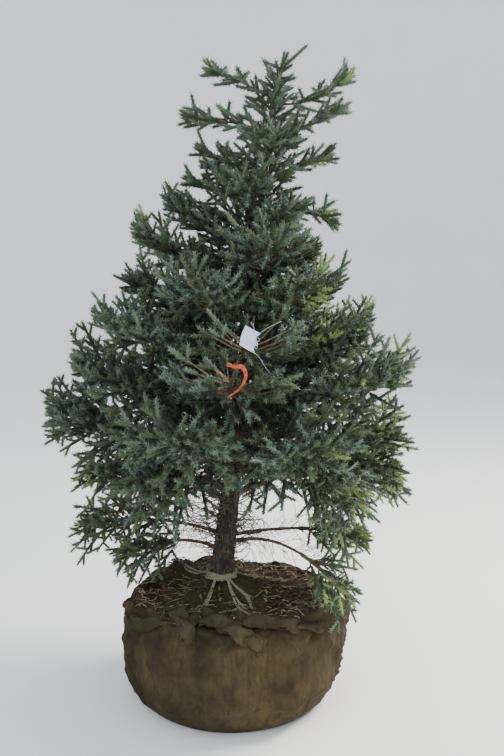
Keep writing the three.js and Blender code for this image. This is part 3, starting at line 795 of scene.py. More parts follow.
# Small sprays straight from the trunk between the limbs, as a young spruce has them
trunkSprays = {
    "low": 0.98,
    "high": 2.31,
    "step": 0.0064,
    "lengths": ((0.95, 0.30), (1.50, 0.24), (1.95, 0.165), (2.32, 0.075)),
    "fullSide": (1.45, 2.00, 0.5),  # between these heights the left side reaches further by this share
    "spiral": 137.5,
    "turnSpread": 30,
    "rise": (0.12, 0.75),
    "lengthShare": (0.7, 1.1),
    "droop": 0.06,
    "rootDepth": 0.8,  # of the trunk's radius
}


def trunkTwigs():
    count = int((trunkSprays["high"] - trunkSprays["low"]) / trunkSprays["step"])
    seed = np.arange(count) + 90000
    level = trunkSprays["low"] + trunkSprays["step"] * (np.arange(count) + draw(seed, 1))
    turn = trunkSprays["spiral"] * np.arange(count) + trunkSprays["turnSpread"] * (draw(seed, 2) - 0.5)
    turn = np.radians(turn)
    rise = mix(*trunkSprays["rise"], draw(seed, 3))
    direction = unit(np.stack([np.cos(turn), np.sin(turn), rise], axis=1))
    heights, lengths = zip(*trunkSprays["lengths"])
    length = np.interp(level, heights, lengths) * mix(*trunkSprays["lengthShare"], draw(seed, 4))
    low, high, more = trunkSprays["fullSide"]
    length *= np.where((level > low) & (level < high), 1 + more * np.maximum(0, -np.cos(turn)), 1)
    depth = trunkSprays["rootDepth"] * trunkRadius(level)
    root = trunkCentre(level) + direction * np.array([1, 1, 0]) * depth[:, None]
    middle = root + direction * (0.6 * length)[:, None]
    return {
        "own": limbDistances(middle).argmin(1),
        "seed": seed,
        "group": seed,
        "root": root,
        "direction": direction,
        "tangent": np.tile(np.array([0, 0, 1.0]), (count, 1)),
        "length": length,
        "droop": np.full(count, trunkSprays["droop"]),
        "open": np.zeros(count, bool),
    }


# Shortens each twig until it fits its space, and drops it where even the least share of it doesn't
def fitTwigs(source, shares, between=True):
    kept = np.zeros(len(source["own"]))
    for share in shares:
        left = np.where(kept == 0)[0]
        fits = np.ones(len(left), bool)
        for sample in twigSamples:
            spot = alongTwig(source, sample, left, share)
            fits &= roomStrict(spot) > growth["clearStrict"] * min(1, 1.4 * sample)
            if between:
                fits &= roomBetween(spot, source["own"][left]) > growth["clear"] * min(1, 2 * sample)
        kept[left[fits]] = share
    good = kept > 0
    fitted = {key: value[good] for key, value in source.items()}
    fitted["length"] = fitted["length"] * kept[good]
    return fitted


def joined(*sources):
    return {key: np.concatenate([source[key] for source in sources]) for key in sources[0]}


# Each twig ends in a shoot of its own, whose length is kept for the needles
def endLengths(source):
    short, long = np.array([shootLengths[kind] for kind in limbValues("kind", source["own"])]).T
    length = growth["endGain"] * mix(short, long, draw(source["seed"], 11))
    return np.minimum(source["length"] * growth["endShare"], length)


def sideShoots(source):
    rows = []
    for i in range(len(source["own"])):
        length = source["length"][i]
        short, long = shootLengths[limbs[source["own"][i]]["kind"]]
        seed = int(source["seed"][i])
        step = growth["shootStep"][limbs[source["own"][i]]["kind"]]
        count = int((length - growth["endRoom"]) / step)
        for k in range(count):
            share = (growth["firstShoot"] + step * (k + 0.5 * float(draw(seed, 12 + k)))) / length
            if source["open"][i] and share < growth["openShare"]:
                continue
            hand = 1 if (k + seed) % 2 else -1
            reach = mix(short, long, float(draw(seed, 30 + k)))
            longest = growth["nearTip"][0] + growth["nearTip"][1] * (1 - share) * length
            rows.append((i, share, hand, min(reach, longest), seed * 7 + k + 1))
    rows = np.array(rows)
    on = rows[:, 0].astype(int)
    share, hand, seed = rows[:, 1], rows[:, 2], rows[:, 4]
    droop = source["droop"][on]
    slope = source["direction"][on].copy()
    slope[:, 2] += 2 * droop * share
    slope = unit(slope)
    tangent = source["tangent"][on]
    inPlane = unit(tangent - slope * np.sum(tangent * slope, axis=1)[:, None])
    normal = np.cross(slope, inPlane)
    angle = np.radians(growth["shootAngle"] + growth["shootSpread"] * (draw(seed, 3) - 0.5))
    roll = growth["shootRoll"] * (draw(seed, 4) - 0.5)
    off = inPlane * (hand * np.cos(roll))[:, None] + normal * np.sin(roll)[:, None]
    heading = slope * np.cos(angle)[:, None] + off * np.sin(angle)[:, None]
    lift = growth["shootLift"]
    heading[:, 2] += np.where(droop < 0, lift["hanging"], lift["rising"])
    return {
        "own": source["own"][on],
        "seed": seed,
        "group": source["seed"][on],
        "root": alongTwig(source, share, on),
        "direction": unit(heading),
        "tangent": slope,
        "length": rows[:, 3],
        "droop": mix(*growth["shootDroop"], draw(seed, 5)),
        "open": np.zeros(len(on), bool),
    }


# The leader's shoots: where on the trunk each one starts, then how far it goes over, back and up
leaderShoots = [
    (2.350, 0.013, 0.000, 0.060),
    (2.352, 0.092, -0.008, 0.078),
    (2.350, -0.066, 0.026, 0.036),
    (2.350, 0.028, 0.072, 0.044),
    (2.350, 0.022, -0.074, 0.042),
    (2.338, 0.044, 0.014, 0.030),
    (2.330, -0.046, -0.020, 0.014),
    (2.325, -0.012, -0.034, 0.048),
    (2.318, 0.034, -0.036, -0.004),
    (2.300, -0.034, 0.012, 0.034),
    (2.290, 0.030, 0.056, 0.038),
    (2.280, -0.036, -0.050, 0.034),
    (2.268, 0.052, -0.030, 0.050),
    (2.262, -0.040, 0.044, 0.040),
]
limbEnd = {
    "back": 0.02,  # how far inside the stem the last shoots start
    "fan": 4,
    "turn": 0.6,
    "flat": 0.7,
    "lean": 0.78,
    "lengths": (0.060, 0.090),
    "first": 0.08,
    "step": 0.09,
    "droop": 0.02,
}


# Each limb's own last shoots, which reach its tip
def limbEnds():
    rows = []
    for order, limb in enumerate(limbs):
        if limb["name"] in (tagSpur["limb"], ribbonSpur["limb"]):
            continue
        root = limbPoint(limb, stemEnd(limb) - limbEnd["back"])
        tip = limbPoint(limb, 1.0)
        rows.append((order, root, tip - root, 1))
        side = limbSide(limb)
        for k in range(limbEnd["fan"]):
            turn = k * math.pi / 2 + limbEnd["turn"]
            lean = side * math.cos(turn) + np.array([0, 0, limbEnd["flat"] * math.sin(turn)])
            heading = unit(unit(tip - root) + limbEnd["lean"] * lean)
            reach = mix(*limbEnd["lengths"], float(draw(order * 31 + k, 5)))
            share = limbEnd["first"] + limbEnd["step"] * k
            rows.append((order, mix(root, tip, share), heading * reach, k + 2))
    last = len(limbs) - 1
    for k, (level, lean, away, rise) in enumerate(leaderShoots):
        root = trunkCentre(level)
        rows.append((last, root, np.array([lean, away, rise]), 40 + k))
    own = np.array([row[0] for row in rows])
    span = np.array([row[2] for row in rows])
    return {
        "own": own,
        "seed": np.array([row[3] + 100.0 * row[0] for row in rows]),
        "group": 7000.0 + own,
        "root": np.array([row[1] for row in rows]),
        "direction": unit(span),
        "tangent": unit(span),
        "length": np.linalg.norm(span, axis=1),
        "droop": np.full(len(rows), limbEnd["droop"]),
        "open": np.zeros(len(rows), bool),
    }


twigs = joined(
    fitTwigs(sideTwigs(), (1, 0.9, 0.8, 0.7, 0.6, 0.5, 0.4, 0.32)),
    fitTwigs(trunkTwigs(), (1, 0.85, 0.7, 0.5), False),
)
endLength = endLengths(twigs)
shoots = joined(fitTwigs(sideShoots(twigs), (1, 0.86, 0.72, 0.6)), limbEnds())
print("grown", len(twigs["own"]), "side twigs and", len(shoots["own"]), "side shoots")


# Every stretch that carries needles: shoots, the ends of twigs, older twigs and the limbs' outer parts
def needleSpans():
    parts = []

    def add(source, start, end, pitch, core, age):
        count = len(source["own"])
        part = {key: source[key] for key in ("own", "seed", "group", "root", "direction", "length", "droop")}
        part["start"] = np.zeros(count) + start
        part["end"] = np.zeros(count) + end
        part["pitch"] = np.full(count, pitch)
        part["core"] = np.full(count, core)
        part["age"] = np.full(count, age)
        part["size"] = np.array([needle["sizes"][kind] for kind in limbValues("kind", source["own"])])
        parts.append(part)

    add(shoots, needle["shootStart"], 1.0, needle["pitch"], 1.0, 0)
    endStart = 1 - endLength / twigs["length"]
    add(twigs, endStart, 1.0, needle["pitch"], 1.0, 0)
    bareShare = np.where(twigs["open"], growth["openBareShare"], growth["bareShare"])
    add(twigs, np.minimum(bareShare, endStart), endStart, needle["oldPitch"], needle["oldCore"], 1)
    rows = []
    for order, limb in enumerate(limbs):
        stops = np.linspace(max(needle["stemStart"], limb["bare"]), stemEnd(limb), 4)
        for k in range(3):
            root = limbPoint(limb, stops[k])
            rows.append((order, root, limbPoint(limb, stops[k + 1]) - root, k))
    stops = np.linspace(*needle["leader"], 5)
    for k in range(4):
        root = trunkCentre(stops[k])
        rows.append((len(limbs) - 1, root, trunkCentre(stops[k + 1]) - root, 10 + k))
    span = np.array([row[2] for row in rows])
    stems = {
        "own": np.array([row[0] for row in rows]),
        "seed": np.array([row[3] + 50.0 * row[0] for row in rows]),
        "group": np.array([row[0] for row in rows]),
        "root": np.array([row[1] for row in rows]),
        "direction": unit(span),
        "length": np.linalg.norm(span, axis=1),
        "droop": np.zeros(len(rows)),
    }
    add(stems, 0.0, 1.0, needle["stemPitch"], needle["stemCore"], 1)
    return joined(*parts)


tinting = {
    "outerStart": 0.35,  # of a limb's reach
    "outerDepth": 0.5,
    "topOuter": 0.65,
    "rightLight": (0.12, 0.24),  # where the light from a side starts, over what depth, and its gain
    "leftLight": (0.22, 0.25, 0.45),
    "backLight": (0.15, 0.3, 0.25),
    "lowTop": 0.95,
    "lowDepth": 0.3,
    "bySpray": 0.55,  # the share of spans that take their whole spray's tint
    "green": 0.54,
    "soft": 0.76,
    "olive": 0.46,
    "lowGreen": 0.8,
    "fresh": ("skirt_right", "skirt_front"),  # the two low right boughs are greener
    "yellowed": ("skirt_right", 0.55),  # and one of them is yellowed on this share
    "litBySpray": 0.7,
    "sunlit": 0.66,
}


# Each span's tint, by how far out it stands and by the side that the light comes from
def dealTints():
    tip = alongTwig(spans, spans["end"])
    centre = trunkCentre(tip[:, 2])
    right = tip[:, 0] - centre[:, 0]
    back = tip[:, 1] - centre[:, 1]
    group = spans["group"]
    young = spans["age"] == 0
    seed = spans["seed"] + 3 * spans["age"]
    outer = np.hypot(right, back) / limbReaches[spans["own"]]
    outer = np.clip((outer - tinting["outerStart"]) / tinting["outerDepth"], 0, 1)
    atTop = limbValues("kind", spans["own"]) == "top"
    outer = np.where(atTop, np.maximum(outer, tinting["topOuter"]), outer)
    start, depth = tinting["rightLight"]
    toLight = np.clip((right - start) / depth, 0, 1) * np.clip(0.65 + 1.6 * back, 0.15, 1)
    start, depth, gain = tinting["leftLight"]
    toLight += gain * np.clip((-right - start) / depth, 0, 1) * np.clip(0.3 + 2 * back, 0, 1)
    start, depth, gain = tinting["backLight"]
    toLight += gain * np.clip((back - start) / depth, 0, 1)
    low = np.clip((tinting["lowTop"] - tip[:, 2]) / tinting["lowDepth"], 0, 1)
    tint = np.full(len(seed), "blue", dtype=object)
    pick = np.where(draw(seed, 50) < tinting["bySpray"], draw(group, 51), draw(seed, 51))
    tint[pick < tinting["green"]] = "green"
    tint[(pick > tinting["soft"]) & (outer > 0.25)] = "soft"
    # inner, older and low spans take the darkest tint: painted shade inside the crown and towards the bottom,
    # over the older needles' own darker colour
    tint[(draw(seed, 52) > outer * 1.5 + 0.12 - 0.3 * low) | ~young] = "deep"
    tint[(draw(seed, 53) < tinting["olive"] * low + 0.03) & (outer < 0.92)] = "olive"
    tint[(draw(seed, 58) < tinting["lowGreen"] * low) & np.isin(tint, ("blue", "soft"))] = "green"
    own = limbValues("name", spans["own"])
    fresh = np.isin(own, tinting["fresh"]) & np.isin(tint, ("blue", "soft"))
    tint[fresh] = "green"
    name, share = tinting["yellowed"]
    tint[fresh & (own == name) & (draw(group, 57) < share)] = "olive"
    lit = np.where(draw(seed, 55) < tinting["litBySpray"], draw(group, 54), draw(seed, 54))
    tint[(lit < tinting["sunlit"] * toLight * outer) & young] = "sunlit"
    return tint


# Needles: three-sided spikes set round each span in a spiral
needle = {
    "pitch": 0.0023,  # along a shoot, from one needle to the next
    "oldPitch": 0.0080,
    "stemPitch": 0.0048,
    "length": 0.0163,
    "width": 0.0043,
    "thickness": 0.0030,
    "rootAngle": 62,
    "tipAngle": 44,
    "angleSpread": 18,
    "spiral": 137.5,
    "steep": 0.94,
    "tipStart": 0.5,  # past this share of a shoot its needles take the lighter tint of its tip
    "closing": 0.92,  # and past this one they close round its bud
    "underLength": 0.84,  # length of a needle below a shoot, for one above it
    "oldLength": 1.05,
    "lengthShare": (0.88, 1.12),
    "shootStart": 0.03,
    "stemStart": 0.5,
    "leader": (2.08, 2.352),  # the stretch of the trunk that carries needles
    "core": 0.0046,
    "coreReach": 0.97,
    "coreTaper": (0.95, 0.80),
    "oldCore": 1.35,
    "stemCore": 1.8,
    "sizes": {"open": 1.10, "dense": 1.18, "top": 1.34},
}


def needleArrays(chosen, tips):
    reach = (spans["end"] - spans["start"])[chosen]
    length = spans["length"][chosen] * reach
    count = np.maximum(3, (length / spans["pitch"][chosen]).astype(int))
    on = np.repeat(chosen, count)
    index = np.arange(len(on)) - np.repeat(np.cumsum(count) - count, count)
    share = (index + 0.5) / np.repeat(count, count)
    wanted = ((share > needle["tipStart"]) & (spans["age"][on] == 0)) == tips
    on, index, share = on[wanted], index[wanted], share[wanted]
    seed = spans["seed"][on]
    young = spans["age"][on] == 0
    place = mix(spans["start"][on], spans["end"][on], share)
    axis = spans["direction"][on].copy()
    axis[:, 2] += 2 * spans["droop"][on] * place
    axis = unit(axis)
    spot = alongTwig(spans, place, on)
    across, rise = crossAxes(axis, needle["steep"])
    turn = np.radians(needle["spiral"]) * index + 6.28 * draw(seed, 61)
    out = across * np.cos(turn)[:, None] + rise * np.sin(turn)[:, None]
    jitter = draw(seed + 0.37 * index, 62)
    angle = mix(needle["rootAngle"], needle["tipAngle"], share) + needle["angleSpread"] * (jitter - 0.5)
    angle = np.radians(angle)
    angle = np.where(young & (share > needle["closing"]), angle * mix(0.3, 1.0, jitter), angle)
    heading = axis * np.cos(angle)[:, None] + out * np.sin(angle)[:, None]
    under = mix(needle["underLength"], 1.0, 0.5 + 0.5 * np.sin(turn))
    profile = np.where(young, 1 - 0.30 * share**7 - 0.20 * (1 - share) ** 3, needle["oldLength"])
    size = needle["length"] * spans["size"][on] * under * profile
    size = size * mix(*needle["lengthShare"], draw(seed + 0.61 * index, 63))
    edgeWay = unit(np.cross(axis, out)) * needle["thickness"] / 2
    flatWay = unit(np.cross(heading, edgeWay)) * needle["width"] / 2
    base = [spot - flatWay - edgeWay, spot + flatWay - edgeWay, spot + edgeWay]
    points = np.stack([*base, spot + heading * size[:, None]], axis=1)
    faces = np.array([(0, 1, 2), (0, 3, 1), (1, 3, 2), (2, 3, 0)])
    corners = faces[None] + 4 * np.arange(len(on))[:, None, None]
    return points.reshape(-1, 3), outwardFaces(points.reshape(-1, 3), corners.reshape(-1, 3))


def outwardFaces(points, corners):
    a, b, c = (points[corners[:4, k]] for k in range(3))
    away = np.einsum("ij,ij->i", np.cross(b - a, c - a), (a + b + c) / 3 - points[:4].mean(0))
    return corners if away.sum() > 0 else corners[:, ::-1]


# The close inner needles of a shoot, as one plump core that the others stand out from
def coreArrays(chosen, age):
    chosen = chosen[spans["age"][chosen] == age]
    shares = np.linspace(0, 1, 2 + 2 * age)
    points = []
    for share in shares:
        place = mix(spans["start"][chosen], spans["end"][chosen], share * needle["coreReach"])
        points.append(alongTwig(spans, place, chosen))
    girth = needle["core"] * spans["core"][chosen] * spans["size"][chosen]
    radii = girth[:, None] * mix(*needle["coreTaper"], shares)[None]
    return tubeArrays(np.stack(points, axis=1), radii, 4)


def foliageNodes(zone):
    names = ["foliage_" + limb["name"] for limb in limbs if limb["zone"] == zone]
    return names + (["foliage_leader"] if zone == "top" else [])


def makeNeedles():
    tint = dealTints()
    tipTint = np.array([needleTints[name]["tips"] for name in tint], dtype=object)
    zoneOf = limbValues("zone", spans["own"])
    total = 0
    for zone in zones:
        for name in needleTints:
            chosen = np.where((zoneOf == zone) & (tint == name))[0]
            tipped = np.where((zoneOf == zone) & (tipTint == name) & (spans["age"] == 0))[0]
            parts = [coreArrays(chosen, 0), coreArrays(chosen, 1), needleArrays(chosen, False)]
            parts.append(needleArrays(tipped, True))
            points, corners = stackArrays([part for part in parts if len(part[1])])
            piece = pieceFromArrays(f"needles_{zone}_{name}", points, corners)
            setPiece(piece, name, foliageNodes(zone))
            total += len(corners)
            print("needles", zone, name, len(chosen), "spans,", len(corners), "faces")
    print("needles in all", total)


spans = needleSpans()
makeNeedles()


# Twigs: every side twig and those of the trunk, joined by zone
twigShape = {"rootRadius": 0.0034, "tipRadius": 0.0016, "openGain": 0.1, "reach": 0.96, "rings": 4}


def twigTubes(chosen):
    shares = np.linspace(0, twigShape["reach"], twigShape["rings"])
    points = np.stack([alongTwig(twigs, share, chosen) for share in shares], axis=1)
    gain = 1 + twigShape["openGain"] * twigs["open"][chosen]
    radii = mix(twigShape["rootRadius"], twigShape["tipRadius"], shares) * gain[:, None]
    return tubeArrays(points, radii, 3)


def makeTwigs():
    for zone in zones:
        mine = [i for i, limb in enumerate(limbs) if limb["zone"] == zone]
        arrays = twigTubes(np.where(np.isin(twigs["own"], mine))[0])
        piece = pieceFromArrays("twigs_" + zone, *arrays)
        setPiece(piece, "twigs", foliageNodes(zone))
        print("twigs", zone, len(arrays[1]), "faces")


makeTwigs()

# Boughs: one tapering limb for every mass, from inside the trunk to its last shoot
bough = {
    "rings": 30,
    "sides": 9,
    "overlap": 0.02,  # how far the stem runs into its last shoots
    "knots": 0.16,
    "knotScale": 34,
    "collar": (1.5, 1.25, 1.08),  # thickens the first rings at the trunk
    "spurRadii": (0.0048, 0.0030),
    "spurWobble": (0.0, 0.0012, -0.001, 0.0008, 0.0014, -0.0006, 0.001, 0.0),
}


def boughTube(limb):
    shares = np.linspace(0, stemEnd(limb) + bough["overlap"], bough["rings"])
    centre = limbPoint(limb, shares)
    knots = np.array([noise.noise(Vector(spot) * bough["knotScale"]) for spot in centre])
    radii = limbRadius(limb, shares) * (1 + bough["knots"] * knots)
    radii[: len(bough["collar"])] *= np.array(bough["collar"])
    return tubeArrays(centre[None], radii[None], bough["sides"])


def spurTube(spur):
    shares = np.linspace(0, 1, len(bough["spurWobble"]))
    centre = np.stack([mix(spur["from"], spur["to"], share) for share in shares])
    centre[:, 0] += np.array(bough["spurWobble"])
    return tubeArrays(centre[None], mix(*bough["spurRadii"], shares)[None], bough["sides"])


def makeBoughs():
    tubes = [boughTube(limb) for limb in limbs] + [spurTube(tagSpur), spurTube(ribbonSpur)]
    piece = pieceFromArrays("boughs", *stackArrays(tubes), smooth=True)
    setPiece(piece, "boughs", ["bough_" + limb["name"] for limb in limbs if limb["bare"]])


makeBoughs()
print("boughs made")

# Dry inner twigs round the trunk and along the bare boughs, and loose strands of bark
dryTwig = {
    "trunkCount": 300,
    "rootDepth": 0.8,  # of the trunk's radius
    "low": 0.50,
    "high": 1.25,
    "length": (0.07, 0.26),
    "radius": 0.0029,
    "forks": 4,
    "perBough": 30,
    "boughLength": (0.03, 0.12),
    "boughRadius": 0.0014,
    "boughForks": 3,
    "tipRadius": 0.0009,
    "forkLean": 1.7,
    "forkLength": (0.25, 0.6),
    "forkRadius": 0.6,  # of the radius of the twig that it leaves
    "forkTipRadius": 0.0008,
    "kink": 0.10,
}
strand = {
    "count": 70,
    "low": 0.50,
    "high": 1.05,
    "length": (0.03, 0.13),
    "rootRadius": 0.0013,
    "tipRadius": 0.0007,
}


def kinkedTubes(source, rings, rootRadius, tipRadius):
    count = len(source["root"])
    shares = np.linspace(0, 1, rings)
    points = np.stack([alongTwig(source, share) for share in shares], axis=1)
    seeds = source["seed"][:, None] + 3.7 * np.arange(rings)[None]
    wander = np.stack([draw(seeds, 101 + k) - 0.5 for k in range(3)], axis=2)
    wander[:, 0] = 0
    points = points + wander * (dryTwig["kink"] * source["length"])[:, None, None]
    radii = np.tile(mix(rootRadius, tipRadius, shares), (count, 1))
    return points, tubeArrays(points, radii, 3)


def forkedArrays(source, rootRadius, forks):
    points, tubes = kinkedTubes(source, 6, rootRadius, dryTwig["tipRadius"])
    parts = [tubes]
    for fork in range(forks):
        seed = source["seed"] + 0.5 + fork
        lean = np.stack([draw(seed, 80), draw(seed, 84), draw(seed, 88)], axis=1) - 0.5
        branch = {
            "seed": seed,
            "root": points[:, 2 + fork % 3],
            "direction": unit(source["direction"] + dryTwig["forkLean"] * lean),
            "length": source["length"] * mix(*dryTwig["forkLength"], draw(seed, 92)),
            "droop": 0.5 * (draw(seed, 96) - 0.5),
        }
        tubes = kinkedTubes(branch, 4, dryTwig["forkRadius"] * rootRadius, dryTwig["forkTipRadius"])[1]
        parts.append(tubes)
    return stackArrays(parts)


def trunkDryTwigs():
    seed = np.arange(dryTwig["trunkCount"]) + 400.0
    level = mix(dryTwig["low"], dryTwig["high"], draw(seed, 71) ** 1.2)
    turn = 2 * math.pi * draw(seed, 72)
    out = np.stack([np.cos(turn), np.sin(turn), mix(-0.5, 0.6, draw(seed, 73))], axis=1)
    length = mix(*dryTwig["length"], draw(seed, 74) ** 1.5)
    depth = dryTwig["rootDepth"] * trunkRadius(level)
    overBall = np.clip((level - 0.47) / 0.25, 0.3, 1)
    return {
        "seed": seed,
        "root": trunkCentre(level) + out * np.array([1, 1, 0]) * depth[:, None],
        "direction": unit(out + np.array([0, 0, 0.35]) * (1 - overBall)[:, None]),
        "length": length * overBall,
        "droop": 0.4 * (draw(seed, 75) - 0.5) * overBall,
    }


def boughDryTwigs():
    bareLimbs = [limb for limb in limbs if limb["bare"]]
    rows = []
    for order, limb in enumerate(bareLimbs):
        for k in range(dryTwig["perBough"]):
            t = mix(0.10, limb["bare"] + 0.15, (k + 0.5) / dryTwig["perBough"])
            seed = 900.0 + 40 * order + k
            rows.append((limbPoint(limb, t), limbTangent(limb, t), limbSide(limb), seed))
    root, tangent, side = (np.array([row[i] for row in rows]) for i in range(3))
    seed = np.array([row[3] for row in rows])
    turn = 2 * math.pi * draw(seed, 72)
    rise = np.cross(tangent, side)
    off = side * np.cos(turn)[:, None] + rise * np.sin(turn)[:, None]
    return {
        "seed": seed,
        "root": root,
        "direction": unit(0.7 * tangent + off),
        "length": mix(*dryTwig["boughLength"], draw(seed, 74)),
        "droop": 0.3 * (draw(seed, 75) - 0.5),
    }


def barkStrands():
    seed = np.arange(strand["count"]) + 1500.0
    level = mix(strand["low"], strand["high"], draw(seed, 71))
    turn = 2 * math.pi * draw(seed, 72)
    out = np.stack([np.cos(turn), np.sin(turn), np.zeros(len(seed))], axis=1)
    way = np.where(draw(seed, 73) < 0.5, 1.0, -1.0)[:, None] * np.array([[0, 0, 1.0]])
    length = mix(*strand["length"], draw(seed, 74)) * np.clip((level - ballHeight) / 0.2, 0.2, 1)
    return {
        "seed": seed,
        "root": trunkCentre(level) + out * (trunkRadius(level) + 0.0005)[:, None],
        "direction": unit(way + 0.12 * out + np.cross(out, way) * (0.22 * (draw(seed, 76) - 0.5))[:, None]),
        "length": length,
        "droop": np.zeros(len(seed)),
    }


def makeDryTwigs():
    parts = [
        forkedArrays(trunkDryTwigs(), dryTwig["radius"], dryTwig["forks"]),
        forkedArrays(boughDryTwigs(), dryTwig["boughRadius"], dryTwig["boughForks"]),
        kinkedTubes(barkStrands(), 6, strand["rootRadius"], strand["tipRadius"])[1],
    ]
    piece = pieceFromArrays("dry_twigs", *stackArrays(parts))
    setPiece(piece, "dryTwigs")


makeDryTwigs()
print("dry twigs made")

# Trunk: a disc drawn up in steps, with fluted flare and furrowed bark
bark = {
    "sides": 56,
    "steps": 150,
    "closer": 1.15,  # over 1 sets the steps closer at the foot
    "lobe": 0.12,
    "furrow": 0.0024,
    "furrowScale": 52,
    "scale": 0.0011,
}


def furrowDepth(angle, z, radius):
    around = Vector((math.cos(angle) * radius, math.sin(angle) * radius, z * 0.13))
    furrows = noise.noise(around * bark["furrowScale"] * 2)
    scales = noise.noise(Vector((around.x, around.y, z * 0.8)) * 190)
    return bark["furrow"] * (abs(furrows) * 2.2 - 0.6) + bark["scale"] * scales


def makeTrunk():
    piece = stackedRings("trunk_bark", bark["sides"], bark["steps"] + 1)
    turnOutward()
    for vertex in piece.data.vertices:
        z = mix(trunk["footZ"], trunk["tipZ"], (vertex.co.z / bark["steps"]) ** bark["closer"])
        angle = math.atan2(vertex.co.y, vertex.co.x)
        radius = float(trunkRadius(z))
        lobe = bark["lobe"] * math.cos(trunk["flareLobes"] * angle)
        lobe *= math.exp((trunk["footZ"] - z) / trunk["flareFall"])
        relief = furrowDepth(angle, z, radius) * min(1, radius / 0.02)
        skin = radius * (1 + lobe) + relief
        centre = trunkCentre(z)
        vertex.co = (centre[0] + skin * math.cos(angle), centre[1] + skin * math.sin(angle), z)
    bpy.ops.object.shade_smooth()
    setPiece(piece, "trunk", ["trunk"])


makeTrunk()
print("trunk made")

# Root ball: burlap drawn over a squat ball of earth and gathered to the trunk's foot
ball = {
    "sides": 288,
    "step": 0.0078,
    "smoothings": 4,
    "foldDepth": 0.026,
    "foldLift": 0.9,
    "rimRadius": 0.390,
    "rimSpread": 0.080,
    "rimFade": 0.240,
    "shiftRadius": 0.300,  # inside this the cloth's middle moves over to the trunk's foot
    "shiftHeight": 0.390,
    "topHeight": 0.372,  # where the side goes over into the top
    "topBlend": 0.022,
    "gathers": 23,
    "gatherDepth": 0.010,
    "gatherReach": 0.13,
    "radial": 0.007,
    "swag": 0.016,
    "pleats": 31,
    "pleat": 0.007,
    "slack": 0.016,
    "crease": 0.009,
    "weave": 0.0016,
}
foldWaves = ((0.4, 3, 0.4), (0.32, 7, 1.9), (0.28, 11, 0.6))  # size, count round the ball, start
# azimuth, radius and height of the middle, then length, width, height and turn
clothBunches = [
    (246, 0.322, 0.388, 0.066, 0.046, 0.050, 58),
    (274, 0.300, 0.380, 0.150, 0.044, 0.040, 5),
    (322, 0.342, 0.384, 0.120, 0.044, 0.038, -8),
    (132, 0.318, 0.386, 0.112, 0.060, 0.060, 14),
]


def foldWave(angle):
    return sum(size * math.sin(count * angle + start) for size, count, start in foldWaves)


def clothPoint(radius, z, angle):
    nearRim = math.exp(-(((radius - ball["rimRadius"]) / ball["rimSpread"]) ** 2))
    shift = trunk["footX"] * max(0, 1 - radius / ball["shiftRadius"]) * min(1, z / ball["shiftHeight"])
    fold = ball["foldDepth"] * nearRim * min(1, z / ball["rimFade"])
    height = z + (ball["foldLift"] * fold * foldWave(angle + 0.8) if z > 0.001 else 0)
    return radius + fold * foldWave(angle), height, shift


def outlineSteps():
    points = np.array(ballOutline)
    travel = np.concatenate([[0], np.cumsum(np.linalg.norm(np.diff(points, axis=0), axis=1))])
    stops = np.linspace(0, travel[-1], int(travel[-1] / ball["step"]))
    smooth = np.stack([np.interp(stops, travel, points[:, k]) for k in range(2)], axis=1)
    for _ in range(ball["smoothings"]):
        inner = smooth.copy()
        inner[1:-1] = (smooth[:-2] + 2 * smooth[1:-1] + smooth[2:]) / 4
        inner[smooth[:, 1] < 0.0005] = smooth[smooth[:, 1] < 0.0005]
        smooth = inner
    return smooth


def ridged(spot):
    return 1 - 2 * abs(noise.noise(spot))


def clothRelief(radius, z, angle, top):
    if z < 0.002:
        return 0.0
    x = math.cos(angle) * radius
    y = math.sin(angle) * radius
    fade = min(1, z / 0.06)
    slack = ball["slack"] * noise.noise(Vector((x * 5, y * 5, z * 8)))
    if top:
        gather = math.exp(-max(0, radius - 0.060) / ball["gatherReach"])
        turn = ball["gathers"] * angle + 4.5 * noise.noise(Vector((x * 6, y * 6, 2)))
        folds = ball["gatherDepth"] * gather * (1 - 1.7 * abs(math.sin(turn / 2)))
        around = Vector((3.2 * math.cos(angle), 3.2 * math.sin(angle), radius * 2.5))
        radial = ball["radial"] * (ridged(around) - 0.6) * min(1, radius / 0.15)
        creases = ball["crease"] * 0.5 * (ridged(Vector((x * 13, y * 13, 5))) - 0.6)
        return folds + radial + slack * 0.5 + creases
    lean = 0.16 * math.sin(3 * angle + 1) + 0.10 * math.sin(5 * angle)
    swags = ball["swag"] * (ridged(Vector((x * 2.6, y * 2.6, (z + lean) * 9 + 4))) - 0.62)
    under = math.exp(-(((z - 0.36) / 0.13) ** 2))
    turn = ball["pleats"] * angle + 6 * noise.noise(Vector((x * 4, y * 4, z * 3)))
    pleats = ball["pleat"] * under * (1 - 1.6 * abs(math.sin(turn / 2)))
    creases = ball["crease"] * (ridged(Vector((x * 9, y * 9, z * 22 + 7))) - 0.62)
    fine = ball["weave"] * noise.noise(Vector((x * 60, y * 60, z * 26)))
    return fade * (slack + swags + pleats + creases + fine)


def bunchLift(x, y):
    lift = 0.0
    for azimuth, radius, level, length, width, height, turn in clothBunches:
        place = math.radians(azimuth)
        lean = math.radians(azimuth + turn)
        dx = x - radius * math.cos(place)
        dy = y - radius * math.sin(place)
        along = (-dx * math.sin(lean) + dy * math.cos(lean)) / length
        across = (dx * math.cos(lean) + dy * math.sin(lean)) / width
        inside = 1 - along * along - across * across
        if inside > 0:
            lift = max(lift, level + height * math.sqrt(inside))
    return lift


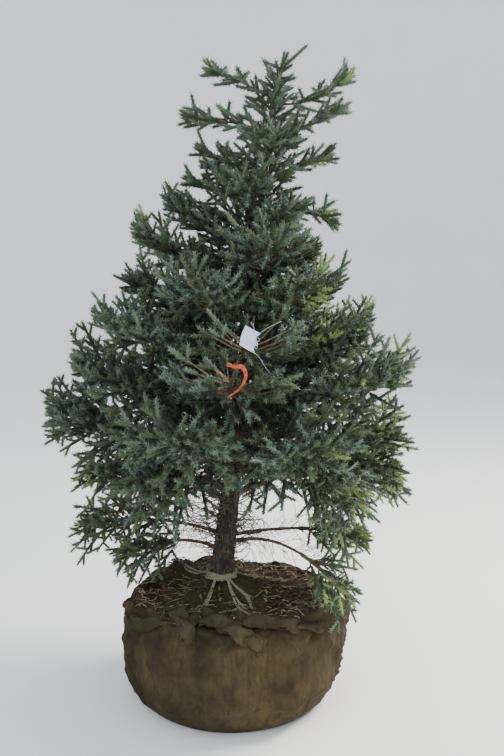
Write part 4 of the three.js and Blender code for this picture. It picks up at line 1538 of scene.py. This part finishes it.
def makeBall():
    outline = outlineSteps()
    piece = stackedRings("root_ball_burlap", ball["sides"], len(outline) - 2, outline[1][0], "NOTHING")
    bpy.ops.object.mode_set(mode="OBJECT")
    rim = int(np.argmax(outline[:, 0]))
    for vertex in piece.data.vertices:
        level = round(vertex.co.z) + 1
        angle = math.atan2(vertex.co.y, vertex.co.x)
        radius, z = outline[level]
        cloth, height, shift = clothPoint(radius, z, angle)
        slope = min(1, max(0, (z - ball["topHeight"]) / ball["topBlend"])) if level > rim else 0
        out = clothRelief(radius, z, angle, False) if slope < 1 else 0
        up = clothRelief(radius, z, angle, True) if slope > 0 else 0
        cloth += out * (1 - slope)
        x = cloth * math.cos(angle) + shift
        y = cloth * math.sin(angle)
        if level > rim:
            height = max(height, bunchLift(x, y))
        vertex.co = (x, y, max(0, height + up * slope))
    bpy.ops.object.mode_set(mode="EDIT")
    bpy.ops.mesh.select_all(action="DESELECT")
    bpy.ops.mesh.select_non_manifold()
    bpy.ops.mesh.edge_face_add()
    turnOutward()
    choose([piece])
    bpy.ops.object.shade_smooth()
    setPiece(piece, "burlap", ["root_ball"])
    points = [vertex.co.copy() for vertex in piece.data.vertices]
    return BVHTree.FromPolygons(points, [face.vertices[:] for face in piece.data.polygons])


def clothHeight(x, y):
    hit = clothTree.ray_cast(Vector((x, y, 1)), Vector((0, 0, -1)))
    return hit[0].z if hit[0] else 0.0


clothTree = makeBall()
print("root ball made")

# Folded and rolled burlap along the rim, each along a path round the ball; a seated one lies on the cloth
clothRolls = {
    "left_lip": {
        "azimuths": (168, 182, 200, 218, 238),
        "radii": (0.350, 0.384, 0.396, 0.392, 0.352),
        "heights": (0.372, 0.400, 0.402, 0.398, 0.378),
        "width": 0.030,
        "thickness": 0.012,
        "lean": -22,
        "seated": True,
    },
    "folded_ear": {
        "azimuths": (232, 238, 244, 249, 252),
        "radii": (0.300, 0.346, 0.386, 0.408, 0.376),
        "heights": (0.380, 0.432, 0.436, 0.400, 0.318),
        "width": 0.030,
        "thickness": 0.018,
        "lean": 10,
        "seated": False,
    },
    "ear_back": {
        "azimuths": (252, 251, 249, 246, 241),
        "radii": (0.300, 0.342, 0.382, 0.410, 0.374),
        "heights": (0.384, 0.426, 0.430, 0.398, 0.322),
        "width": 0.022,
        "thickness": 0.010,
        "lean": -14,
        "seated": False,
    },
    "draped_fold": {
        "azimuths": (244, 255, 266, 276, 286),
        "radii": (0.282, 0.334, 0.376, 0.404, 0.376),
        "heights": (0.380, 0.430, 0.430, 0.402, 0.322),
        "width": 0.032,
        "thickness": 0.017,
        "lean": -26,
        "seated": False,
    },
    "draped_edge": {
        "azimuths": (256, 264, 273, 283, 294),
        "radii": (0.300, 0.356, 0.396, 0.414, 0.374),
        "heights": (0.374, 0.412, 0.404, 0.376, 0.312),
        "width": 0.024,
        "thickness": 0.009,
        "lean": -46,
        "seated": False,
    },
    "front_roll": {
        "azimuths": (264, 276, 290, 304, 318),
        "radii": (0.300, 0.332, 0.362, 0.384, 0.362),
        "heights": (0.376, 0.418, 0.420, 0.404, 0.372),
        "width": 0.030,
        "thickness": 0.014,
        "lean": -18,
        "seated": False,
    },
    "right_lip": {
        "azimuths": (292, 310, 330, 350, 368),
        "radii": (0.350, 0.382, 0.392, 0.390, 0.352),
        "heights": (0.372, 0.402, 0.408, 0.400, 0.372),
        "width": 0.032,
        "thickness": 0.012,
        "lean": -22,
        "seated": True,
    },
    "back_roll": {
        "azimuths": (60, 86, 114, 142, 170),
        "radii": (0.350, 0.384, 0.388, 0.384, 0.350),
        "heights": (0.374, 0.404, 0.408, 0.402, 0.374),
        "width": 0.032,
        "thickness": 0.012,
        "lean": -22,
        "seated": True,
    },
    "far_roll": {
        "azimuths": (2, 18, 36, 52, 68),
        "radii": (0.350, 0.384, 0.390, 0.384, 0.350),
        "heights": (0.374, 0.402, 0.406, 0.400, 0.374),
        "width": 0.030,
        "thickness": 0.012,
        "lean": -22,
        "seated": True,
    },
}
rollShape = {
    "rings": 44,
    "sides": 22,
    "lift": 0.003,  # of a seated roll over the cloth
    "endSize": 0.18,
    "endSwell": 4.5,
    "ripples": (0.22, 0.16),
    "edge": 0.008,
    "creaseScale": 0.028,
    "creaseDetail": 3,
    "crumple": 0.014,
}


# A smooth curve through the points, in evenly many steps from each to the next
def smoothPath(points, count):
    points = np.array(points, float)
    made = []
    padded = np.concatenate([2 * points[:1] - points[1:2], points, 2 * points[-1:] - points[-2:-1]])
    for place in np.linspace(0, len(points) - 1, count):
        i = min(int(place), len(points) - 2)
        s = place - i
        a, b, c, d = padded[i : i + 4]
        curve = (2 * a - 5 * b + 4 * c - d) * s**2 + (3 * b - a - 3 * c + d) * s**3
        made.append(0.5 * (2 * b + (c - a) * s + curve))
    return np.array(made)


def makeRoll(name, roll):
    rings = rollShape["rings"]
    piece = stackedRings(name, rollShape["sides"], rings)
    turnOutward()
    path = smoothPath(np.stack([roll["azimuths"], roll["radii"], roll["heights"]], axis=1), rings)
    turns = np.radians(path[:, 0])
    centre = np.stack([path[:, 1] * np.cos(turns), path[:, 1] * np.sin(turns), path[:, 2]], axis=1)
    if roll["seated"]:
        under = np.array([clothHeight(x, y) for x, y in centre[:, :2]])
        padded = np.pad(under, 3, mode="edge")
        centre[:, 2] = np.convolve(padded, np.full(7, 1 / 7), mode="valid") + rollShape["lift"]
    along = unit(np.gradient(centre, axis=0))
    for vertex in piece.data.vertices:
        ring = round(vertex.co.z)
        share = ring / (rings - 1)
        angle = math.atan2(vertex.co.y, vertex.co.x)
        outward = np.array([math.cos(turns[ring]), math.sin(turns[ring]), 0])
        lean = math.radians(roll["lean"] * (0.6 + 0.6 * share))
        level = outward - along[ring] * float(outward @ along[ring])
        level = level / np.linalg.norm(level)
        rise = np.cross(along[ring], level)
        rise = rise if rise[2] > 0 else -rise
        broad = level * math.cos(lean) + rise * math.sin(lean)
        high = rise * math.cos(lean) - level * math.sin(lean)
        swell = min(1, rollShape["endSwell"] * min(share, 1 - share) + rollShape["endSize"])
        coarse, fine = rollShape["ripples"]
        ripple = 1 + coarse * math.sin(11 * share + 2 * angle) + fine * math.sin(27 * share + angle)
        u = roll["width"] * swell * ripple * math.cos(angle)
        v = roll["thickness"] * swell * (math.sin(angle) + 0.35 * math.sin(3 * angle + 5 * share))
        v += rollShape["edge"] * math.sin(19 * share + 3 * math.cos(angle)) * swell
        vertex.co = tuple(centre[ring] + broad * u + high * v)
    finer = piece.modifiers.new("finer", "SUBSURF")
    finer.levels = 1
    finer.render_levels = 1
    crumple(piece, rollShape["creaseScale"], rollShape["crumple"], rollShape["creaseDetail"])
    applyModifiers(piece)
    bpy.ops.object.shade_smooth()
    return piece


def makeRolls():
    rolls = [makeRoll(name, roll) for name, roll in clothRolls.items()]
    setPiece(joinPieces(rolls, "burlap_folds"), "burlap", ["root_ball"])


makeRolls()
print("burlap folds made")

# Wood chips and straw that lie on the burlap inside the rim
litter = {
    "chipsDark": {
        "piece": "litter_dark",
        "seed": 3000,
        "count": 980,
        "length": (0.012, 0.045),
        "width": (0.0025, 0.0060),
    },
    "chipsPale": {
        "piece": "litter_pale",
        "seed": 5000,
        "count": 390,
        "length": (0.020, 0.075),
        "width": (0.0012, 0.0032),
    },
}
litterRule = {
    "inner": 0.105,  # radius where the litter starts
    "breadth": 0.27,
    "rise": 0.0045,
    "heap": 0.006,
    "tilt": 0.30,
    "bend": 0.003,
    "shares": (-1, -0.3, 0.5, 1.0),
    "taper": (0.45, 1.0, 0.85, 0.30),
    "flat": 0.55,
}


def makeLitter(paint, kind):
    seed = np.arange(kind["count"]) + kind["seed"]
    radius = litterRule["inner"] + litterRule["breadth"] * draw(seed, 1) ** 0.8
    turn = 2 * math.pi * draw(seed, 2)
    x = radius * np.cos(turn)
    y = radius * np.sin(turn)
    z = np.array([clothHeight(a, b) for a, b in zip(x, y)])
    heading = math.pi * draw(seed, 3)
    half = mix(*kind["length"], draw(seed, 4) ** 1.6) / 2
    tilt = litterRule["tilt"] * (draw(seed, 5) - 0.5)
    span = np.stack([np.cos(heading), np.sin(heading), tilt], axis=1)
    centre = np.stack([x, y, z + litterRule["rise"] + litterRule["heap"] * draw(seed, 6)], axis=1)
    points = centre[:, None] + span[:, None] * (half[:, None] * np.array(litterRule["shares"]))[..., None]
    points[:, 1:3, 2] += (litterRule["bend"] * draw(seed, 7))[:, None]
    radii = mix(*kind["width"], draw(seed, 8))[:, None] * np.array(litterRule["taper"])
    skin, corners = tubeArrays(points, radii, 4)
    skin = skin.reshape(kind["count"], -1, 3)
    skin[..., 2] = mix(centre[:, None, 2], skin[..., 2], litterRule["flat"])
    piece = pieceFromArrays(kind["piece"], skin.reshape(-1, 3), corners)
    setPiece(piece, paint, ["root_ball"])


for paint, kind in litter.items():
    makeLitter(paint, kind)
print("litter made")

# Twine: two-ply strands wound round the trunk's foot, two half winds that cross at its front, and legs that
# run down over the burlap and fray at their ends
twine = {
    "plyRadius": 0.0027,
    "layRadius": 0.0024,
    "twist": 0.026,
    "sides": 5,
    "step": 0.0042,
    "endTaper": (0.9, 0.7, 0.4),
    "gap": 0.004,  # between the trunk and the winds
    "footLevel": 0.476,
    "overCloth": 0.006,
    "sag": 0.02,
    "pair": (2.2, -0.014, 0.03, 0.001),  # what a leg's second strand adds to azimuth, reach, wander and lift
    "frays": 6,
    "fraySpread": 0.9,
    "frayLength": (0.018, 0.050),
    "frayRadius": 0.0008,
}
# level, rise, swell, start and length in turns, thickness
twineWinds = [
    (0.471, 0.002, 0.001, 0, 1, 1),
    (0.476, -0.003, 0.003, 0, 1, 1),
    (0.481, 0.003, 0.001, 0, 1, 1),
    (0.486, -0.002, 0.002, 0, 1, 1),
    (0.480, 0.010, 0.006, 0.55, 0.42, 1.15),
    (0.480, -0.010, 0.006, 0.56, 0.40, 1.15),
]
# azimuth, reach, wander
twineLegs = [
    (247, 0.262, 0.05),
    (-66, 0.260, -0.10),
    (-58, 0.215, 0.12),
    (32, 0.255, 0.06),
    (128, 0.258, -0.05),
]


def twineArrays(points, size=1):
    points = np.array(points)
    steps = np.concatenate([[0], np.cumsum(np.linalg.norm(np.diff(points, axis=0), axis=1))])
    count = max(8, int(steps[-1] / twine["step"]))
    stops = np.linspace(0, steps[-1], count)
    centre = np.stack([np.interp(stops, steps, points[:, k]) for k in range(3)], axis=1)
    across, rise = crossAxes(unit(np.gradient(centre, axis=0)))
    plies = []
    for ply in range(2):
        turn = 2 * math.pi * stops / twine["twist"] + ply * math.pi
        off = across * np.cos(turn)[:, None] + rise * np.sin(turn)[:, None]
        radii = np.full((1, count), twine["plyRadius"] * size)
        radii[0, -3:] *= np.array(twine["endTaper"])
        plies.append(tubeArrays((centre + off * twine["layRadius"] * size)[None], radii, twine["sides"]))
    return stackArrays(plies)


def windPath(level, rise, swell, start, turns):
    angle = 2 * math.pi * (np.linspace(0, turns, int(48 * turns)) + start)
    z = level + rise * np.sin(angle + 1.2) + 0.0016 * np.sin(5 * angle)
    radius = trunkRadius(z) + twine["gap"] + swell + 0.0012 * np.sin(7 * angle)
    centre = trunkCentre(z)
    return np.stack([centre[:, 0] + radius * np.cos(angle), centre[:, 1] + radius * np.sin(angle), z], axis=1)


def legPath(azimuth, reach, wander, lift):
    turn = math.radians(azimuth)
    foot = trunkCentre(twine["footLevel"])
    start = float(trunkRadius(twine["footLevel"])) + 0.005
    endHeight = clothHeight(foot[0] + reach * math.cos(turn), foot[1] + reach * math.sin(turn))
    made = []
    for share in np.linspace(0, 1, 26):
        distance = mix(start, reach, share)
        swing = turn + wander * math.sin(3.0 * share) * (1 - 0.3 * share)
        x = foot[0] + distance * math.cos(swing)
        y = foot[1] + distance * math.sin(swing)
        ground = clothHeight(x, y) + twine["overCloth"] + lift
        tight = mix(0.474, endHeight, share)
        made.append((x, y, max(ground, tight - twine["sag"] * math.sin(math.pi * share))))
    return made


def frayArrays(tip, heading, seed):
    parts = []
    for k in range(twine["frays"]):
        spread = np.array([float(draw(seed + k, 1 + j)) - 0.5 for j in range(3)])
        way = unit(heading + twine["fraySpread"] * spread * np.array([1, 1, 0.35]))
        length = mix(*twine["frayLength"], float(draw(seed + k, 7)))
        made = []
        for share in np.linspace(0, 1, 5):
            x, y, z = tip + way * length * share
            made.append((x, y, max(clothHeight(x, y) + 0.002, z - 0.01 * share)))
        parts.append(tubeArrays(np.array(made)[None], np.full((1, 5), twine["frayRadius"]), 3))
    return parts


def makeTwine():
    parts = [twineArrays(windPath(*wind[:5]), wind[5]) for wind in twineWinds]
    for order, leg in enumerate(twineLegs):
        for second in range(2):
            path = legPath(*(np.array([*leg, 0]) + second * np.array(twine["pair"])))
            parts.append(twineArrays(path))
            tip = np.array(path[-1])
            parts += frayArrays(tip, unit(tip - np.array(path[-4])), 700 + 40 * order + 15 * second)
    piece = pieceFromArrays("twine_lacing", *stackArrays(parts), smooth=True)
    setPiece(piece, "twine", ["trunk_twine"])


makeTwine()
print("twine made")

# Tag and ribbon: thin sheets shaped along a path, then given their thickness
strip = {"columns": 7, "creaseScale": 0.014, "crumple": 0.0022}
tieGap = 0.0002


# A spot on a spur, the directions along and round it, and the radius at which something is tied there
def spurFrame(spur, share):
    axis = unit(spur["to"] - spur["from"])
    side = unit(np.cross(axis, np.array([0, 0, 1.0])))
    radius = mix(*bough["spurRadii"], share) + tieGap
    return mix(spur["from"], spur["to"], share), axis, side, np.cross(side, axis), radius


def arcPoints(centre, side, rise, radius, angle):
    return centre + side * (radius * np.cos(angle))[:, None] + rise * (radius * np.sin(angle))[:, None]


def stripPiece(name, centre, across, widths, thickness):
    clearSelection()
    rows = len(centre)
    bpy.ops.mesh.primitive_grid_add(x_subdivisions=strip["columns"] - 1, y_subdivisions=rows - 1, size=1)
    piece = bpy.context.object
    piece.name = name
    for vertex in piece.data.vertices:
        row = round((vertex.co.y + 0.5) * (rows - 1))
        vertex.co = tuple(centre[row] + across[row] * widths[row] * vertex.co.x)
    bpy.ops.object.mode_set(mode="EDIT")
    bpy.ops.mesh.select_all(action="SELECT")
    bpy.ops.mesh.quads_convert_to_tris()
    bpy.ops.object.mode_set(mode="OBJECT")
    crumple(piece, strip["creaseScale"], strip["crumple"])
    thicken(piece, thickness)
    return piece


ribbon = {
    "width": 0.0155,
    "thickness": 0.0007,
    "knotShare": 0.72,  # how far out on its spur it is tied
    "gap": 0.0012,
    "turns": 1.9,
    "wrapSteps": 56,
    "fallSteps": 52,
    # the fall, from the knot
    "fall": [
        (-0.027, -0.010, 0.010),
        (-0.008, -0.013, 0.004),
        (0.0225, -0.014, 0.000),
        (0.033, -0.013, -0.032),
        (0.0105, -0.012, -0.072),
        (-0.027, -0.008, -0.100),
    ],
    "fallWidths": ((0, 0.16, 0.4, 0.7, 1.0), (1.0, 0.75, 1.0, 0.7, 0.35)),
    "fallTwist": (14, -44, 24),
}


def makeRibbon():
    knot, axis, side, rise, bore = spurFrame(ribbonSpur, ribbon["knotShare"])
    # the wrap: nearly two turns round the spur, drawn in at the knot
    stops = np.linspace(0, ribbon["turns"], ribbon["wrapSteps"])
    angle = 2 * math.pi * stops
    radius = bore + ribbon["gap"] + 0.0012 * stops + 0.0022 * (1 + np.sin(3 * angle + 1)) * 0.5
    wrap = arcPoints(knot, side, rise, radius, angle) + axis * (0.004 * np.sin(1.7 * angle))[:, None]
    wrapAcross = unit(axis + 0.25 * rise * np.sin(2 * angle)[:, None])
    wrapWidth = ribbon["width"] * (0.74 + 0.16 * np.sin(2.3 * angle))
    # the fall: one strip that comes off the knot and hangs down
    fall = smoothPath(knot + np.array(ribbon["fall"]), ribbon["fallSteps"])
    level = unit(np.cross(unit(np.gradient(fall, axis=0)), np.array([0, -1.0, 0])))
    share = np.linspace(0, 1, ribbon["fallSteps"])
    start, turn, sway = ribbon["fallTwist"]
    twist = np.radians(start + turn * share + sway * np.sin(6.3 * share))
    fallAcross = level * np.cos(twist)[:, None] + np.array([0, -1.0, 0]) * np.sin(twist)[:, None]
    fallWidth = ribbon["width"] * np.interp(share, *ribbon["fallWidths"])
    pieces = [
        stripPiece("ribbon_wrap", wrap, wrapAcross, wrapWidth, ribbon["thickness"]),
        stripPiece("ribbon_fall", fall, fallAcross, fallWidth, ribbon["thickness"]),
    ]
    setPiece(joinPieces(pieces, "flagging_ribbon"), "ribbon", ["marker_ribbon"])


makeRibbon()
print("ribbon made")

tag = {
    "width": 0.062,
    "height": 0.068,
    "turn": 29,
    "lean": 15,
    "curl": 0.009,
    "bow": 0.004,
    "wave": 0.004,
    "narrowing": 0.10,
    "rolledEdge": 0.017,
    "roll": 0.0048,
    "torn": ((0.013, 0.0062), (-0.011, 0.0052)),  # height and radius of the curls of torn edge
    "tornWidth": 0.011,
    "sheet": 0.0006,
    "hangShare": 0.8,  # how far out on its spur it hangs
    "drop": (-0.006, -0.012, -0.053),
    "wire": 0.0008,
    "wireGap": 0.0003,
    "hole": (0.004, 0.026),
    # the wire's two tails: where each leaves the sheet, and its bends from there
    "corners": ((0.022, 0.030), (0.014, -0.028)),
    "upperTail": ((0.036, -0.006, 0.022), (0.076, 0.004, 0.040)),
    "lowerTail": ((0.026, -0.010, -0.026), (0.048, -0.004, -0.062), (0.080, 0.008, -0.096)),
}


def tagFrame():
    centre = mix(tagSpur["from"], tagSpur["to"], tag["hangShare"]) + np.array(tag["drop"])
    turn = math.radians(tag["turn"])
    lean = math.radians(tag["lean"])
    along = np.array([math.cos(turn), 0, -math.sin(turn)])
    return centre, along, np.array([math.sin(lean), 0, math.cos(lean)])


# Where a spot of the flat label lies once it is warped and its right edge has rolled up in two places
def tagPoint(u, v):
    centre, along, upright = tagFrame()
    share = 2 * u / tag["width"]
    level = v / tag["height"]
    narrow = 1 - tag["narrowing"] * (level + 0.5)
    bow = tag["bow"] * math.cos(math.pi * level) if u < 0 else 0
    depth = tag["curl"] * share**2 + tag["wave"] * math.sin(2.6 * level + 0.8)
    lobes = abs(math.sin(math.pi * (2.0 * level + 0.06)))
    start = tag["width"] / 2 - tag["rolledEdge"] * (0.30 + 0.70 * lobes)
    if u > start:
        turn = (u - start) / tag["roll"]
        shifted = start + tag["roll"] * math.sin(turn)
        depth -= tag["roll"] * (1 - math.cos(turn)) * 1.1
    else:
        shifted = u
    return centre + along * (shifted * narrow + bow * share) + upright * v + np.array([0, depth, 0])


def tagCurl(level, radius):
    _, along, upright = tagFrame()
    hub = tagPoint(tag["width"] / 2 - 0.020, level) + along * 0.013 + np.array([0, -0.004, 0])
    angle = np.linspace(-0.95 * math.pi, 0.62 * math.pi, 26)
    centre = arcPoints(hub, along, upright, radius * np.linspace(1.15, 0.85, 26), angle)
    across = np.tile(np.array([0, 1.0, 0]), (26, 1))
    return stripPiece("tag_curl", centre, across, np.full(26, tag["tornWidth"]), tag["sheet"])


def makeTag():
    clearSelection()
    bpy.ops.mesh.primitive_grid_add(x_subdivisions=40, y_subdivisions=36, size=1)
    sheet = bpy.context.object
    for vertex in sheet.data.vertices:
        vertex.co = tuple(tagPoint(vertex.co.x * tag["width"], vertex.co.y * tag["height"]))
    thicken(sheet, tag["sheet"])
    hang, axis, side, rise, bore = spurFrame(tagSpur, tag["hangShare"])
    angle = np.linspace(-0.5 * math.pi, 1.5 * math.pi, 26)
    eye = bore + tag["wire"] + tag["wireGap"]
    loop = arcPoints(hang, side, rise, eye, angle) + axis * np.linspace(-0.001, 0.001, 26)[:, None]
    hole = tagPoint(*tag["hole"]) + np.array([0, -0.001, 0])
    drop = smoothPath([loop[-1], mix(loop[-1], hole, 0.5) + np.array([0.003, -0.003, 0]), hole], 10)
    top, low = (tagPoint(*corner) + np.array([0, -0.002, 0]) for corner in tag["corners"])
    upperTail = smoothPath([hole, top, *(top + np.array(tag["upperTail"]))], 22)
    lowerTail = smoothPath([low, *(low + np.array(tag["lowerTail"]))], 24)
    wires = []
    for path in (np.concatenate([loop, drop[1:]]), upperTail, lowerTail):
        wires.append(tubeArrays(path[None], np.full((1, len(path)), tag["wire"]), 6))
    wire = pieceFromArrays("tag_tie", *stackArrays(wires), smooth=True)
    curls = [tagCurl(level, radius) for level, radius in tag["torn"]]
    setPiece(joinPieces([sheet, *curls], "tag_sheet"), "tag", ["blank_tag"])
    setPiece(wire, "tie", ["blank_tag"])


makeTag()
print("tag made")

# Stage: a round pale floor that sweeps up far away on all sides, and soft light
stage = {
    "radius": 11,
    "sides": 96,
    "drop": 0.0005,  # keeps the floor clear of the ball's underside
    "sweep": ((12, 0), (13.2, 0.2), (14.2, 0.8), (14.8, 1.7), (15, 3), (15, 8)),  # radius and height
}


def makeStage():
    clearSelection()
    bpy.ops.mesh.primitive_circle_add(vertices=stage["sides"], radius=stage["radius"], fill_type="NGON")
    floor = bpy.context.object
    floor.name = "stage_floor"
    bpy.ops.object.mode_set(mode="EDIT")
    bpy.ops.mesh.select_mode(type="EDGE")
    radius, level = stage["radius"], 0
    for nextRadius, nextLevel in stage["sweep"]:
        bpy.ops.mesh.select_all(action="DESELECT")
        bpy.ops.mesh.select_non_manifold()
        bpy.ops.mesh.extrude_edges_move(TRANSFORM_OT_translate={"value": (0, 0, nextLevel - level)})
        widen = nextRadius / radius
        bpy.ops.transform.resize(value=(widen, widen, 1), center_override=(0, 0, 0))
        radius, level = nextRadius, nextLevel
    bpy.ops.object.mode_set(mode="OBJECT")
    for vertex in floor.data.vertices:
        vertex.co.z -= stage["drop"]
    bpy.ops.object.shade_smooth()
    floor.data.materials.append(paintStage())


lights = {
    "key": {"place": (3.7, 1.0, 4.3), "size": 2.2, "power": 500, "colour": (1.0, 0.95, 0.86)},
    "fill": {"place": (-2.6, -4.2, 3.4), "size": 4.0, "power": 120, "colour": (0.90, 0.95, 1.0)},
    "front": {"place": (1.8, -4.6, 1.6), "size": 3.0, "power": 60, "colour": (0.96, 0.98, 1.0)},
}
lightAim = (0, 0, 1.1)
sky = {"colour": (0.86, 0.92, 1.0, 1), "strength": 1.2}


def makeLights():
    for name, light in lights.items():
        place = Vector(light["place"])
        bpy.ops.object.light_add(type="AREA", location=place)
        lamp = bpy.context.object
        lamp.name = "light_" + name
        lamp.rotation_euler = (Vector(lightAim) - place).to_track_quat("-Z", "Y").to_euler()
        lamp.data.size = light["size"]
        lamp.data.energy = light["power"]
        lamp.data.color = light["colour"]
    world = bpy.data.worlds.new("studio")
    bpy.context.scene.world = world
    world.use_nodes = True
    background = world.node_tree.nodes["Background"]
    background.inputs["Color"].default_value = sky["colour"]
    background.inputs["Strength"].default_value = sky["strength"]


makeStage()
makeLights()
print("stage and lights made")
